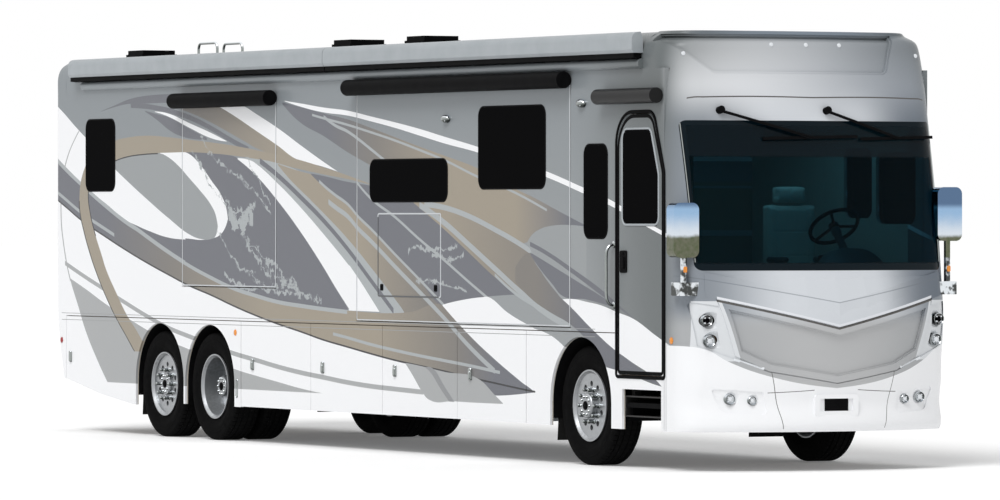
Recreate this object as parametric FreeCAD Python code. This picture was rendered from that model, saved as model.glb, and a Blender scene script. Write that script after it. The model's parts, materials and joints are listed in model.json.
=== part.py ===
import FreeCAD, Part
import functools
import math
import os

from FreeCAD import Vector

# A tag-axle diesel motorhome, in millimetres.
# X runs forward, Y to the vehicle's left, Z up from the floor it stands on.
# The origin is below the middle of the bounding box.

# Driving dimensions: overall form
overall_length = 13700.0
body_width = 2565.0
front_overhang = 2253.0
wheelbase = 7670.0
tag_spacing = 1170.0
roof_z = 3712.0
eave_z = 3520.0
roof_seam_z = 3400.0
belt_z = 1155.0
skirt_z = 334.0
rear_valance_z = 520.0
wall = 45.0
skirt_wall = 30.0
cap_wall = 40.0
panel_gap = 8.0
seat_gap = 0.3

# Driving dimensions: floor and frame
floor_thickness = 40.0
floor_rise = 20.0
rail_inner_y = 380.0
rail_width = 80.0
rail_height = 250.0
rail_z = 760.0
sill_width = 60.0
sill_height = 60.0
tray_z = 350.0
tray_wall = 14.0
rail_web = 12.0
engine_z = 560.0
rail_reach = 1640.0
cross_members = (1500.0, -900.0, -3200.0, -5600.0, -6900.0, -9500.0)
outriggers = (1000.0, -1800.0, -3300.0, -4800.0, -9740.0)
outrigger_width = 80.0
hitch_tube = 63.5
hitch_opening = 50.8
hitch_pin_radius = 8.0
hitch_pin_inset = 60.0
hitch_z = 470.0
hitch_setback = 180.0

# Driving dimensions: wheels
tyre_radius = 515.0
tyre_width = 296.0
rim_radius = 292.0
rim_width = 230.0
rim_wall = 14.0
hub_radius = 110.0
spindle_radius = 45.0
running_clearance = 0.05
arch_radius = 567.0
arch_lift = 25.0
arch_liner = 12.0
arch_inner_y = 560.0
front_wheel_recess = 66.0
rear_wheel_recess = 32.0
twin_spacing = 340.0
pin_radius = 22.0
eye_radius = 50.0
eye_height = 130.0
ear_thickness = 34.0
ear_gap = 5.0
knuckle_gap = 6.0
knuckle_plate = 26.0
spindle_reach = 92.0
hand_holes = 10
hand_hole_radius = 24.0
hand_hole_circle = 190.0

# Driving dimensions: doors, windows and slide rooms, each as
# distances ahead of the steering axle and heights above the floor
entry_door_rear = 682.0
entry_door_front = 1508.0
entry_door_bottom = 800.0
entry_door_top = 3014.0
entry_door_slant_z = 2520.0
entry_door_slant = 190.0
door_window_inset = 85.0
door_window_bottom = 2073.0
door_window_top = 2891.0
step_well_rear = 764.0
step_well_front = 1465.0
step_well_top = 676.0
step_well_depth = 620.0
step_tread = 260.0
step_plate = 20.0
step_frame_z = 440.0
step_frame_top = 620.0
step_frame_wall = 12.0
step_tread_z = 520.0
cab_floor_reach = 340.0
front_seam = 1522.0
cap_top_seam = 1165.0
tail_seam = -11120.0
window_recess = 12.0
window_corner = 90.0

slide_depth = 640.0
slide_wall = 45.0
slide_front = (-4430.0, -190.0, 1190.0, 3325.0)
slide_rear = (-8308.0, -6170.0, 1475.0, 3260.0)
slide_left_span = (-8308.0, -1500.0, 1190.0, 3325.0)
topper_radius = 74.0
topper_stand = 6.0
topper_overhang = 30.0

window_rear = (-10625.0, -9910.0, 2397.0, 3107.0)
window_narrow = (67.0, 500.0, 1957.0, 2765.0)
window_small = (-4147.0, -2562.0, 2279.0, 2662.0)
window_big = (-1947.0, -654.0, 2389.0, 3116.0)
window_driver_rear = (160.0, 650.0, 2130.0, 2740.0)
window_driver_front = (720.0, 1400.0, 2080.0, 2700.0)
window_left_rear = (-7300.0, -6000.0, 2389.0, 3000.0)
window_left_mid = (-4800.0, -3500.0, 2389.0, 3000.0)

ladder_y = (350.0, 630.0)
ladder_tube = 14.0
ladder_stand = 55.0
ladder_top = 3905.0
ladder_bottom = 1950.0
ladder_stands = (2010.0, 3245.0)
hoop_bend = 60.0
hoop_reach = 400.0

bay_seams = (-6951.0, -5410.0, -3890.0, -2370.0, -1026.0)
bay_door_bottom = 340.0

half_width = body_width / 2
nose_x = (overall_length + ladder_stand + ladder_tube) / 2
tail_x = nose_x - overall_length
steer_x = nose_x - front_overhang
drive_x = steer_x - wheelbase
tag_x = drive_x - tag_spacing
wheel_z = tyre_radius
arch_z = wheel_z + arch_lift
floor_top = belt_z + floor_rise
floor_bottom = floor_top - floor_thickness
roof_corner = roof_z - eave_z
inner_half = half_width - wall
skirt_inner = half_width - skirt_wall
sill_outer = skirt_inner
front_wheel_y = half_width - front_wheel_recess - tyre_width / 2
rear_wheel_y = half_width - rear_wheel_recess - tyre_width / 2
twin_inner_y = rear_wheel_y - twin_spacing

crease_z = 1241.0

# The front's shape: height, setback of the middle behind the nose,
# and the radius of its crown seen from above
front_sections = (
    (skirt_z, 70.0, 2400.0),
    (737.0, 45.0, 2400.0),
    (1180.0, 8.0, 2400.0),
    (crease_z, 0.0, 2400.0),
    (1434.0, 25.0, 2550.0),
    (1673.0, 96.0, 3000.0),
    (2320.0, 255.0, 4400.0),
    (2967.0, 420.0, 6200.0),
    (3255.0, 470.0, 6000.0),
    (eave_z, 535.0, 5000.0),
)
front_corner = 300.0
front_brow = 160.0

# The tail's shape, in the same terms
tail_sections = (
    (rear_valance_z, 170.0, 14000.0),
    (900.0, 50.0, 14000.0),
    (belt_z, 10.0, 14000.0),
    (1800.0, 0.0, 14000.0),
    (eave_z, 0.0, 14000.0),
)
tail_corner = 80.0
tail_brow = 120.0

windshield_outline = (
    (1192.0, 1690.0, 60.0),
    (1217.0, 2955.0, 50.0),
    (-1217.0, 2955.0, 50.0),
    (-1192.0, 1690.0, 60.0),
)
hood_edge_z = 1215.0
hood_corner = (1050.0, 1455.0)
grille_side = (900.0, 970.0)
grille_low = (620.0, 838.0)
grille_bottom_z = 735.0
grille_recess = 30.0
grille_frame = 55.0
shadow_gap = 9.0
hood_lift = 25.0
hood_side_lift = 12.0
hood_reach = 1130.0
hood_height = 205.0
crown_panel = (
    (-1330.0, 3690.0, 0.0),
    (-900.0, 3352.0, 70.0),
    (775.0, 3352.0, 70.0),
    (900.0, 3690.0, 0.0),
)
crown_step = 18.0
bezel = (
    (1250.0, 1432.0, 30.0),
    (975.0, 1385.0, 20.0),
    (865.0, 960.0, 20.0),
    (610.0, 872.0, 10.0),
    (632.0, 812.0, 10.0),
    (905.0, 888.0, 60.0),
    (1170.0, 985.0, 60.0),
)
bowl_reach = 26.0
pocket = (
    (1075.0, 700.0, 20.0),
    (655.0, 672.0, 20.0),
    (615.0, 480.0, 40.0),
    (985.0, 500.0, 70.0),
)
plate_frame = (210.0, 462.0, 648.0)
plate_field = (160.0, 508.0, 612.0)
plate_stand = 14.0
bumper_side_z = 1085.0

# Engine door
engine_hinge_inset = 4.0
engine_door_half = 850.0
engine_door_bottom = 700.0
engine_door_top = 1650.0

# Mirrors
mirror_outer_y = 1400.0
mirror_width = 240.0
mirror_height = 460.0
mirror_x = 6470.0
mirror_foot_z = 1590.0
mirror_bottoms = (1800.0, 1936.0)

# Round lamps: y, z and radius
head_lamps = ((1125.0, 1273.0, 50.0), (1099.0, 1100.0, 50.0))
fog_lamps = ((920.0, 612.0, 46.0), (740.0, 600.0, 38.0))

# Steering wheel
steering_y = 520.0
steering_z = 2060.0
steering_setback = 1010.0
steering_radius = 215.0
steering_axis = Vector(-0.55, 0, 0.62).normalize()

# Wipers
wiper_spans = ((-884.0, -527.0, 382.0), (113.0, 417.0, 1185.0))
wiper_pivot_z = 3035.0
wiper_arm_drop = 222.0
wiper_blade_rise = 20.0

# Patio awnings: their ends measured from the front axle, then their section
awning_rear = -10830.0
awning_joint = -4940.0
awning_front = 1140.0
awning_depth = 108.0
awning_low_z = 3532.0
awning_gap = 10.0

# Door awning
door_roll_radius = 66.0
door_roll_z = 3167.0
door_roll_span = (440.0, 1500.0)

# Roof gutter roll and vents
gutter_radius = 42.0
gutter_z = 3442.0
gutter_stand = 8.0
gutter_rear_gap = 460.0
vent_places = ((-10890.0, -450.0), (-6100.0, -450.0), (-4540.0, -450.0))
vent_half = (200.0, 190.0)
vent_lid_inset = 15.0
vent_base_height = 60.0
vent_lid_height = 40.0

# Seats: where each stands behind the front axle, and its heights
seat_places = ((720.0, 520.0), (260.0, -600.0))
seat_half = 260.0
seat_pad_z = 1500.0
seat_pad_height = 140.0
seat_back_z = (1560.0, 2260.0)
seat_back_depth = 130.0
head_rest_top = 2410.0

# Dashboard
dash_z = 1480.0
dash_height = 190.0
pod_z = (1640.0, 1890.0)
pod_half = 290.0
column_radius = 32.0

# Ladder rungs
rung_count = 6
rung_pitch = 270.0
rung_radius = 12.0
first_rung = 120.0


def box(x0, x1, y0, y1, z0, z1):
    return Part.makeBox(x1 - x0, y1 - y0, z1 - z0, Vector(x0, y0, z0))


def cylinder(base, direction, radius, length):
    return Part.makeCylinder(radius, length, Vector(*base), Vector(*direction))


def mirrored(shape):
    return shape.mirror(Vector(0, 0, 0), Vector(0, 1, 0))


def both_sides(shape):
    return [shape, mirrored(shape)]


def outline(points, place):
    """A closed wire through (a, b, radius) corners; place turns a, b into a point."""
    edges = []
    ends = []
    count = len(points)
    for i in range(count):
        before = Vector(points[i - 1][0], points[i - 1][1], 0)
        corner = Vector(points[i][0], points[i][1], 0)
        after = Vector(points[(i + 1) % count][0], points[(i + 1) % count][1], 0)
        radius = points[i][2]
        if radius <= 0:
            ends.append((corner, None, corner))
            continue
        back = (before - corner).normalize()
        ahead = (after - corner).normalize()
        half = back.getAngle(ahead) / 2
        reach = radius / math.tan(half)
        middle = (back + ahead).normalize()
        centre = corner + middle * (radius / math.sin(half))
        ends.append((corner + back * reach, centre - middle * radius, corner + ahead * reach))
    for i in range(count):
        start, mid, stop = ends[i]
        if mid is not None:
            arc = Part.Arc(place(start), place(mid), place(stop))
            edges.append(arc.toShape())
        leaving = ends[(i + 1) % count][0]
        if (leaving - stop).Length > 1e-6:
            edges.append(Part.LineSegment(place(stop), place(leaving)).toShape())
    return Part.Wire(edges)


def side_prism(points, y0, y1, grow=0.0):
    """Corners in X and Z, extruded across from y0 to y1."""
    wire = outline(points, lambda p: Vector(p.x, y0, p.y))
    if grow:
        wire = wire.makeOffset2D(grow)
    return Part.Face(wire).extrude(Vector(0, y1 - y0, 0))


def front_prism(points, x0, x1, grow=0.0):
    """Corners in Y and Z, extruded along from x0 to x1."""
    wire = outline(points, lambda p: Vector(x0, p.x, p.y))
    if grow:
        wire = wire.makeOffset2D(grow)
    return Part.Face(wire).extrude(Vector(x1 - x0, 0, 0))


def rounded(span, radius):
    """Corners of a rounded rectangle from a span ahead of the steering axle."""
    rear, front, low, high = span
    return (
        (steer_x + rear, low, radius),
        (steer_x + front, low, radius),
        (steer_x + front, high, radius),
        (steer_x + rear, high, radius),
    )


def square(span, gap=0.0):
    rear, front, low, high = span
    return (
        (steer_x + rear - gap, low - gap, 0),
        (steer_x + front + gap, low - gap, 0),
        (steer_x + front + gap, high + gap, 0),
        (steer_x + rear - gap, high + gap, 0),
    )


def half_width_at(z):
    """Half the body's width, drawn in where the roof's edge rounds over."""
    if z <= eave_z:
        return half_width
    return half_width - roof_corner + math.sqrt(roof_corner ** 2 - (z - eave_z) ** 2)


def plan_wire(reach, crown, corner, half, back, height):
    """One level of an end cap: flat back, straight sides, rounded corners, crowned end."""
    centre_x = reach - crown + math.sqrt((crown - corner) ** 2 - (half - corner) ** 2)
    lean = math.atan2(half - corner, centre_x - (reach - crown))
    meet = Vector(reach - crown + crown * math.cos(lean), crown * math.sin(lean), height)
    turn = (lean + math.pi / 2) / 2
    bend = Vector(
        centre_x + corner * math.cos(turn), half - corner + corner * math.sin(turn), height
    )
    side = Vector(centre_x, half, height)
    rear = Vector(back, half, height)
    tip = Vector(reach, 0, height)

    def over(p):
        return Vector(p.x, -p.y, p.z)

    edges = [
        Part.LineSegment(rear, side).toShape(),
        Part.Arc(side, bend, meet).toShape(),
        Part.Arc(meet, tip, over(meet)).toShape(),
        Part.Arc(over(meet), over(bend), over(side)).toShape(),
        Part.LineSegment(over(side), over(rear)).toShape(),
        Part.LineSegment(over(rear), rear).toShape(),
    ]
    return Part.Wire(edges)


def levels(low):
    """Heights for an end's sections: even below and above the crease, then the roof's edge."""
    below = 5
    above = 12
    turns = 4
    heights = [low + (crease_z - low) * i / below for i in range(below)]
    heights += [crease_z + (eave_z - crease_z) * i / above for i in range(above + 1)]
    heights += [eave_z + roof_corner * math.sin(math.pi / 2 * i / turns) for i in range(1, turns + 1)]
    return heights


def section_at(sections, z):
    """Setback and crown at a height, between the two nearest rows."""
    for low, high in zip(sections, sections[1:]):
        if z <= high[0]:
            share = (z - low[0]) / (high[0] - low[0])
            return low[1] + share * (high[1] - low[1]), low[2] + share * (high[2] - low[2])
    return sections[-1][1:]


def end_form(sections, tip, corner, brow, back, inset):
    """A lofted solid of an end of the body, drawn in by inset on every side."""
    wires = []
    for z in levels(sections[0][0]):
        setback, crown = section_at(sections, z)
        rise = max(0.0, (z - eave_z) / roof_corner)
        setback += brow * (1 - math.sqrt(max(0.0, 1 - rise ** 2)))
        height = z - rise * inset
        if not wires:
            height -= max(0.0, inset)
        half = half_width_at(z) - inset
        wires.append(
            plan_wire(tip - setback - inset, crown, corner - inset, half, back, height)
        )
    return Part.makeLoft(wires, True, False, False, 3)


@functools.lru_cache(maxsize=None)
def front_form(inset):
    back = steer_x + cap_top_seam
    if inset > 0:
        back -= panel_gap
    return end_form(front_sections, nose_x, front_corner, front_brow, back, inset)


@functools.lru_cache(maxsize=None)
def tail_form(inset):
    back = -(steer_x + tail_seam)
    if inset > 0:
        back -= panel_gap
    return flip_x(end_form(tail_sections, -tail_x, tail_corner, tail_brow, back, inset))


def flip_x(shape):
    return shape.mirror(Vector(0, 0, 0), Vector(1, 0, 0))


@functools.lru_cache(maxsize=None)
def front_shell(thickness):
    return front_form(0.0).cut(front_form(thickness))


@functools.lru_cache(maxsize=None)
def tail_shell(thickness):
    return tail_form(0.0).cut(tail_form(thickness))


def hood_edge(z_drop=0.0):
    """The V of the hood's lower edge, out past the body on both sides."""
    return (hood_corner[0], hood_corner[1] - z_drop), (0.0, hood_edge_z - z_drop)


def grille_outline():
    top, middle = hood_edge()
    right = [
        (top[0], top[1], 0),
        (grille_side[0], grille_side[1], 0),
        (grille_low[0], grille_low[1], 0),
        (0.0, grille_bottom_z, 0),
    ]
    left = [(-y, z, r) for y, z, r in reversed(right[:-1])]
    return right + left + [(0.0, middle[1], 0)]


def bumper_outline():
    wide = body_width
    return (
        (-wide, 0.0, 0),
        (wide, 0.0, 0),
        (wide, bumper_side_z + (wide - half_width) * 0.4, 0),
        (grille_low[0], grille_low[1], 0),
        (0.0, grille_bottom_z, 0),
        (-grille_low[0], grille_low[1], 0),
        (-wide, bumper_side_z + (wide - half_width) * 0.4, 0),
    )


def cut_all(shape, tools):
    for tool in tools:
        shape = shape.cut(tool)
    return shape


def arch_cutter(x, radius, y0, y1):
    round_top = cylinder((x, y0, arch_z), (0, 1, 0), radius, y1 - y0)
    return round_top.fuse(box(x - radius, x + radius, y0, y1, 0, arch_z))


def make_rail(rail_rear, rail_front):
    """One channel-section frame rail, open outwards."""
    outer = rail_inner_y + rail_width
    top = rail_z + rail_height
    rail = box(rail_rear, rail_front, rail_inner_y, outer, rail_z, top)
    channel = box(
        rail_rear - 1, rail_front + 1, rail_inner_y + rail_web, outer + 1,
        rail_z + rail_web, top - rail_web,
    )
    return rail.cut(channel)


def make_chassis_frame():
    """Rails, cross members, outriggers that carry the floor, sills and the hitch."""
    rail_rear = steer_x + tail_seam + 60.0
    rail = make_rail(rail_rear, steer_x + rail_reach)
    top = rail_z + rail_height
    frame = list(both_sides(rail))
    member_half = rail_inner_y - seat_gap
    for ahead in cross_members:
        x = steer_x + ahead
        frame.append(box(x, x + 90, -member_half, member_half, rail_z + 40, top - 40))
    for ahead in outriggers:
        x = steer_x + ahead
        left = sill_outer - sill_width - seat_gap
        right = left if ahead < entry_door_rear else rail_inner_y + rail_width
        frame.append(
            box(x, x + outrigger_width, -right, left, top + seat_gap, floor_bottom)
        )
    door_room = box(
        steer_x + entry_door_rear - 60, steer_x + front_seam,
        -sill_outer - 1, 0, 0, floor_bottom + 1,
    )
    sill = make_sill()
    return frame + sill.Solids + mirrored(sill).cut(door_room).Solids + [make_hitch()]


def make_sill():
    """The left sill under the floor's edge, cut away over the wheels."""
    y0 = sill_outer - sill_width
    sill = box(
        steer_x + tail_seam + 60, steer_x + front_seam - 100,
        y0, sill_outer, floor_bottom - sill_height, floor_bottom,
    )
    for x in (steer_x, drive_x, tag_x):
        sill = sill.cut(arch_cutter(x, arch_radius + arch_liner, y0 - 1, sill_outer + 1))
    return sill


def make_hitch():
    """A receiver tube under the tail, hung on a bar from the frame's rails."""
    tube_end = tail_x + hitch_setback
    half = hitch_tube / 2
    hollow = hitch_opening / 2
    bar_x = tube_end + 300
    tube = box(tube_end, bar_x + 100, -half, half, hitch_z - half, hitch_z + half)
    outer = rail_inner_y + rail_web
    hitch = tube.fuse(box(bar_x, bar_x + 80, -outer, outer, hitch_z - 40, hitch_z + 40))
    plate = box(bar_x, bar_x + 200, rail_inner_y, outer, hitch_z - 40, rail_z - seat_gap)
    for piece in both_sides(plate):
        hitch = hitch.fuse(piece)
    bore = box(tube_end - 1, bar_x + 101, -hollow, hollow, hitch_z - hollow, hitch_z + hollow)
    hitch = hitch.cut(bore)
    pin_x = tube_end + hitch_pin_inset
    pin = cylinder((pin_x, -half - 1, hitch_z), (0, 1, 0), hitch_pin_radius, hitch_tube + 2)
    return hitch.cut(pin)


def make_floor():
    """The cabin floor, the cab floor ahead of it, the door's steps and slide runners."""
    x0 = steer_x + tail_seam + seat_gap
    x1 = steer_x + front_seam - 20.0
    slab = box(x0, x1, -inner_half, inner_half, floor_bottom, floor_top)
    slab = slab.fuse(box(x1, x1 + cab_floor_reach, -1000, 1000, floor_bottom, floor_top))
    well = box(
        steer_x + entry_door_rear, steer_x + step_well_front,
        -inner_half - 1, -inner_half + step_well_depth, floor_bottom - 1, floor_top + 1,
    )
    slab = slab.cut(well).fuse(make_step_well())
    for span, side in ((slide_front, -1), (slide_rear, -1), (slide_left_span, 1)):
        for runner in slide_runners(span, side):
            slab = slab.fuse(runner)
    return slab.removeSplitter()


def slide_runners(span, side):
    """Two low bars, or taller stands, that a slide room's floor glides over."""
    rear, front, low = span[:3]
    runners = []
    for share in (0.15, 0.85):
        x = steer_x + rear + share * (front - rear)
        y0, y1 = half_width - slide_depth + 60, inner_half - panel_gap
        runner = box(x - 30, x + 30, y0, y1, floor_top - 1, low - seat_gap)
        runners.append(runner if side > 0 else mirrored(runner))
    return runners


def make_step_well():
    """The inside steps between the door's sill and the cab floor."""
    x0 = steer_x + entry_door_rear
    x1 = steer_x + step_well_front
    plate = step_plate
    y_out = -inner_half
    low = entry_door_bottom - plate
    rise = (floor_bottom - low) / 2
    pieces = [
        box(x0, x1, y_out, y_out + step_tread, low, low + plate),
        box(x0, x1, y_out + step_tread - plate, y_out + step_tread, low, low + rise + plate),
        box(x0, x1, y_out + step_tread - plate, y_out + 2 * step_tread, low + rise, low + rise + plate),
        box(x0, x1, y_out + 2 * step_tread - plate, y_out + 2 * step_tread, low + rise, floor_top),
        box(x0, x1, y_out + 2 * step_tread - plate, y_out + step_well_depth, floor_bottom, floor_top),
        box(x0 - plate, x0, y_out, y_out + step_well_depth, low, floor_top),
        box(x1, x1 + plate, y_out, y_out + step_well_depth, low, floor_top),
    ]
    solid = pieces[0]
    for piece in pieces[1:]:
        solid = solid.fuse(piece)
    return solid


def make_basement():
    """The luggage bays' tray and the partitions that hang it from the floor."""
    x0 = steer_x + bay_seams[0] + panel_gap
    x1 = steer_x + bay_seams[-1] - panel_gap
    edge = skirt_inner - panel_gap
    inner = sill_outer - sill_width - seat_gap
    tray_top = tray_z + tray_wall
    pieces = [box(x0, x1, -edge, edge, tray_z, tray_top)]
    half = tray_wall / 2
    outer = rail_inner_y + rail_width + seat_gap
    for seam in bay_seams:
        x = min(max(steer_x + seam, x0 + half), x1 - half)
        web_top = rail_z - seat_gap
        pieces.append(box(x - half, x + half, -inner, inner, tray_top + seat_gap, web_top))
        hanger = box(x - half, x + half, outer, inner, web_top + seat_gap, floor_bottom)
        pieces += both_sides(hanger)
    return pieces


def make_engine():
    x1 = tag_x - 980.0
    x0 = steer_x + tail_seam + 80.0
    return box(x0, x1, -rail_inner_y, rail_inner_y, engine_z, rail_z + rail_height)


def make_axle_front():
    y = front_wheel_y
    z0 = wheel_z - eye_height / 2
    beam = box(steer_x - 40, steer_x + 40, -y, y, wheel_z - 45, wheel_z + 45)
    web = box(steer_x - 41, steer_x - 14, -y + 190, y - 190, wheel_z - 27, wheel_z + 27)
    beam = beam.cut(web)
    beam = beam.cut(web.translated(Vector(55, 0, 0)))
    for side in (-1, 1):
        beam = beam.fuse(cylinder((steer_x, side * y, z0), (0, 0, 1), eye_radius, eye_height))
        seat = rail_inner_y + rail_width / 2
        spring = cylinder(
            (steer_x, side * seat, wheel_z + 45), (0, 0, 1), 90, rail_z - wheel_z - 45
        )
        beam = beam.fuse(spring)
    for side in (-1, 1):
        hole = cylinder(
            (steer_x, side * y, z0 - 1), (0, 0, 1), pin_radius + running_clearance, eye_height + 2
        )
        beam = beam.cut(hole)
    return beam.removeSplitter()


def make_knuckle():
    """The left knuckle: a fork on the kingpin with the wheel's spindle outboard."""
    y = front_wheel_y
    half_eye = eye_height / 2 + ear_gap
    back_y = y + eye_radius + knuckle_gap
    ear_half = 42.0
    z0 = wheel_z - half_eye - ear_thickness
    z1 = wheel_z + half_eye
    body = box(steer_x - ear_half, steer_x + ear_half, back_y, back_y + knuckle_plate, z0, z1 + ear_thickness)
    for z in (z0, z1):
        ear = box(steer_x - ear_half, steer_x + ear_half, y, back_y + 1, z, z + ear_thickness)
        ear = ear.fuse(cylinder((steer_x, y, z), (0, 0, 1), ear_half, ear_thickness))
        body = body.fuse(ear)
    pin = cylinder((steer_x, y, z0), (0, 0, 1), pin_radius, z1 - z0 + ear_thickness)
    spindle = cylinder((steer_x, back_y, wheel_z), (0, 1, 0), spindle_radius, spindle_reach)
    return body.fuse(pin).fuse(spindle).removeSplitter()


def make_axles_rear():
    """The drive axle with its differential, and the plainer tag axle behind it."""
    drive_end = rear_wheel_y + 20.0
    tube = cylinder((drive_x, -drive_end, wheel_z), (0, 1, 0), spindle_radius, 2 * drive_end)
    case = cylinder((drive_x, -700, wheel_z), (0, 1, 0), 75, 1400)
    # the thick tube stops short of the inner wheels
    case = case.common(box(drive_x - 300, drive_x + 300, -560, 560, 0, 2000))
    ball = Part.makeSphere(210, Vector(drive_x, 0, wheel_z))
    drive = tube.fuse(case).fuse(ball)
    tag_end = rear_wheel_y + 60.0
    tag = cylinder((tag_x, -tag_end, wheel_z), (0, 1, 0), spindle_radius, 2 * tag_end)
    tag = tag.fuse(box(tag_x - 55, tag_x + 55, -820, 820, wheel_z - 55, wheel_z + 55))
    seat = rail_inner_y + rail_width / 2
    for side in (-1, 1):
        base = (drive_x, side * seat, wheel_z)
        drive = drive.fuse(cylinder(base, (0, 0, 1), 90, rail_z - wheel_z))
        base = (tag_x, side * seat, wheel_z)
        tag = tag.fuse(cylinder(base, (0, 0, 1), 90, rail_z - wheel_z))
    return [drive.removeSplitter(), tag.removeSplitter()]


def revolve_profile(points, x, z):
    """Spin (offset along Y, radius) corners about the wheel's axis."""
    wire = outline(points, lambda p: Vector(x, p.x, z + p.y))
    return Part.Face(wire).revolve(Vector(x, 0, z), Vector(0, 1, 0), 360)


def make_tyre(x, y):
    """One tyre, its sidewalls bulged and its shoulders rounded."""
    half = tyre_width / 2
    bead = rim_width / 2
    seat = rim_radius + seat_gap
    profile = (
        (y - bead + 14, seat, 0),
        (y + bead - 14, seat, 0),
        (y + half, seat + 110, 90),
        (y + half - 14, tyre_radius, 34),
        (y - half + 14, tyre_radius, 34),
        (y - half, seat + 110, 90),
    )
    return revolve_profile(profile, x, wheel_z)


def make_rim(x, y, disc_y, dome, hub_depth=46.0):
    """A disc wheel on the left side: barrel, pierced disc at disc_y and a domed hub."""
    half = rim_width / 2
    inner = rim_radius - rim_wall
    barrel = (
        (y - half - 12, rim_radius + 18, 0),
        (y - half, rim_radius + 18, 0),
        (y - half + 6, rim_radius, 0),
        (y + half - 6, rim_radius, 0),
        (y + half, rim_radius + 18, 0),
        (y + half + 12, rim_radius + 18, 0),
        (y + half + 12, rim_radius + 6, 0),
        (y + half - 10, inner, 0),
        (y - half + 10, inner, 0),
        (y - half - 12, rim_radius + 6, 0),
    )
    wheel = revolve_profile(barrel, x, wheel_z)
    disc = cylinder((x, disc_y, wheel_z), (0, 1, 0), inner + 2, 14)
    wheel = wheel.fuse(disc)
    hub = cylinder((x, disc_y - hub_depth, wheel_z), (0, 1, 0), hub_radius, hub_depth + 14 + dome)
    if dome > 0:
        hub = hub.makeFillet(18, [hub.Edges[0]])
    wheel = wheel.fuse(hub)
    for i in range(hand_holes):
        angle = 2 * math.pi * (i + 0.5) / hand_holes
        hx = x + hand_hole_circle * math.cos(angle)
        hz = wheel_z + hand_hole_circle * math.sin(angle)
        hole = cylinder((hx, disc_y - 1, hz), (0, 1, 0), hand_hole_radius, 16)
        wheel = wheel.cut(hole)
    return wheel


def hub_bore(x, y0, y1):
    return cylinder((x, y0, wheel_z), (0, 1, 0), spindle_radius + running_clearance, y1 - y0)


def make_front_wheel():
    y = front_wheel_y
    disc_y = y + eye_radius + knuckle_gap + knuckle_plate + 10.0
    rim = make_rim(steer_x, y, disc_y, 60.0, 2.0)
    spindle_end = y + eye_radius + knuckle_gap + spindle_reach
    return rim.cut(hub_bore(steer_x, y - 200, spindle_end + 5.0))


def make_tag_wheel():
    y = rear_wheel_y
    disc_y = y + 80.0
    rim = make_rim(tag_x, y, disc_y, 30.0)
    return rim.cut(hub_bore(tag_x, y - 200, y + 65.0))


def make_drive_wheel():
    """Twin rims joined back to back, with the deep dish outboard and the hub in it."""
    outer_disc = rear_wheel_y - rim_width / 2 + 6.0
    inner_disc = twin_inner_y + rim_width / 2 - 20.0
    outer = make_rim(drive_x, rear_wheel_y, outer_disc, 0.0)
    inner = make_rim(drive_x, twin_inner_y, inner_disc, 0.0)
    joint = cylinder((drive_x, inner_disc, wheel_z), (0, 1, 0), 150.0, outer_disc - inner_disc)
    pair = outer.fuse(inner).fuse(joint)
    cap = cylinder((drive_x, outer_disc, wheel_z), (0, 1, 0), 95.0, 165.0)
    cap = cap.makeFillet(12, [cap.Edges[0]])
    pair = pair.fuse(cap)
    return pair.cut(hub_bore(drive_x, twin_inner_y - 300, rear_wheel_y + 25.0))


def door_outline():
    rear = steer_x + entry_door_rear
    front = steer_x + entry_door_front
    return (
        (rear, entry_door_bottom, 20),
        (front, entry_door_bottom, 20),
        (front, entry_door_slant_z, 120),
        (front - entry_door_slant, entry_door_top, 130),
        (rear, entry_door_top, 280),
    )


def door_window_outline():
    rear = steer_x + entry_door_rear + door_window_inset
    front = steer_x + entry_door_front - door_window_inset
    return (
        (rear, door_window_bottom, 70),
        (front, door_window_bottom, 70),
        (front, entry_door_slant_z - 20, 120),
        (front - entry_door_slant * 0.75, door_window_top, 70),
        (rear, door_window_top, 90),
    )


def make_side_wall(side):
    """One upper side, from the belt to the roof seam, with its openings cut."""
    y0, y1 = (inner_half, half_width) if side > 0 else (-half_width, -inner_half)
    x0 = steer_x + tail_seam + seat_gap
    x1 = steer_x + front_seam - seat_gap
    panel = box(x0, x1, y0, y1, belt_z, roof_seam_z)
    tools = []
    if side < 0:
        tools.append(side_prism(door_outline(), y0 - 1, y1 + 1, panel_gap))
        for span in (slide_front, slide_rear):
            tools.append(side_prism(square(span, panel_gap), y0 - 1, y1 + 1))
        for span in (window_rear, window_narrow):
            tools.append(side_prism(rounded(span, window_corner), y0 - 1, y1 + 1))
    else:
        tools.append(side_prism(square(slide_left_span, panel_gap), y0 - 1, y1 + 1))
        for span in (window_rear, window_driver_rear, window_driver_front):
            tools.append(side_prism(rounded(span, window_corner), y0 - 1, y1 + 1))
    return cut_all(panel, tools)


def glass_pane(span, side):
    """A flush pane, a little smaller than its opening and proud by a hair."""
    rear, front, low, high = span
    inner_span = (rear + seat_gap, front - seat_gap, low + seat_gap, high - seat_gap)
    y_out = half_width + 2.0
    y_in = half_width - window_recess
    if side > 0:
        return side_prism(rounded(inner_span, window_corner), y_in, y_out)
    return side_prism(rounded(inner_span, window_corner), -y_out, -y_in)


def make_window_glass():
    return [
        glass_pane(window_rear, -1),
        glass_pane(window_narrow, -1),
        glass_pane(window_rear, 1),
        glass_pane(window_driver_rear, 1),
        glass_pane(window_driver_front, 1),
    ]


def make_slide(span, side, windows):
    """A slide-out room: outer wall, floor, roof and ends, open towards the cabin."""
    rear, front, low, high = span
    x0, x1 = steer_x + rear, steer_x + front
    y0, y1 = half_width - slide_depth, half_width
    room = box(x0, x1, y0, y1, low, high)
    hollow = box(
        x0 + slide_wall, x1 - slide_wall, y0 - 1, y1 - slide_wall,
        low + slide_wall, high - slide_wall,
    )
    room = room.cut(hollow)
    for window in windows:
        room = room.cut(side_prism(rounded(window, window_corner), y0 - 1, y1 + 1))
    return room if side > 0 else mirrored(room)


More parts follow.
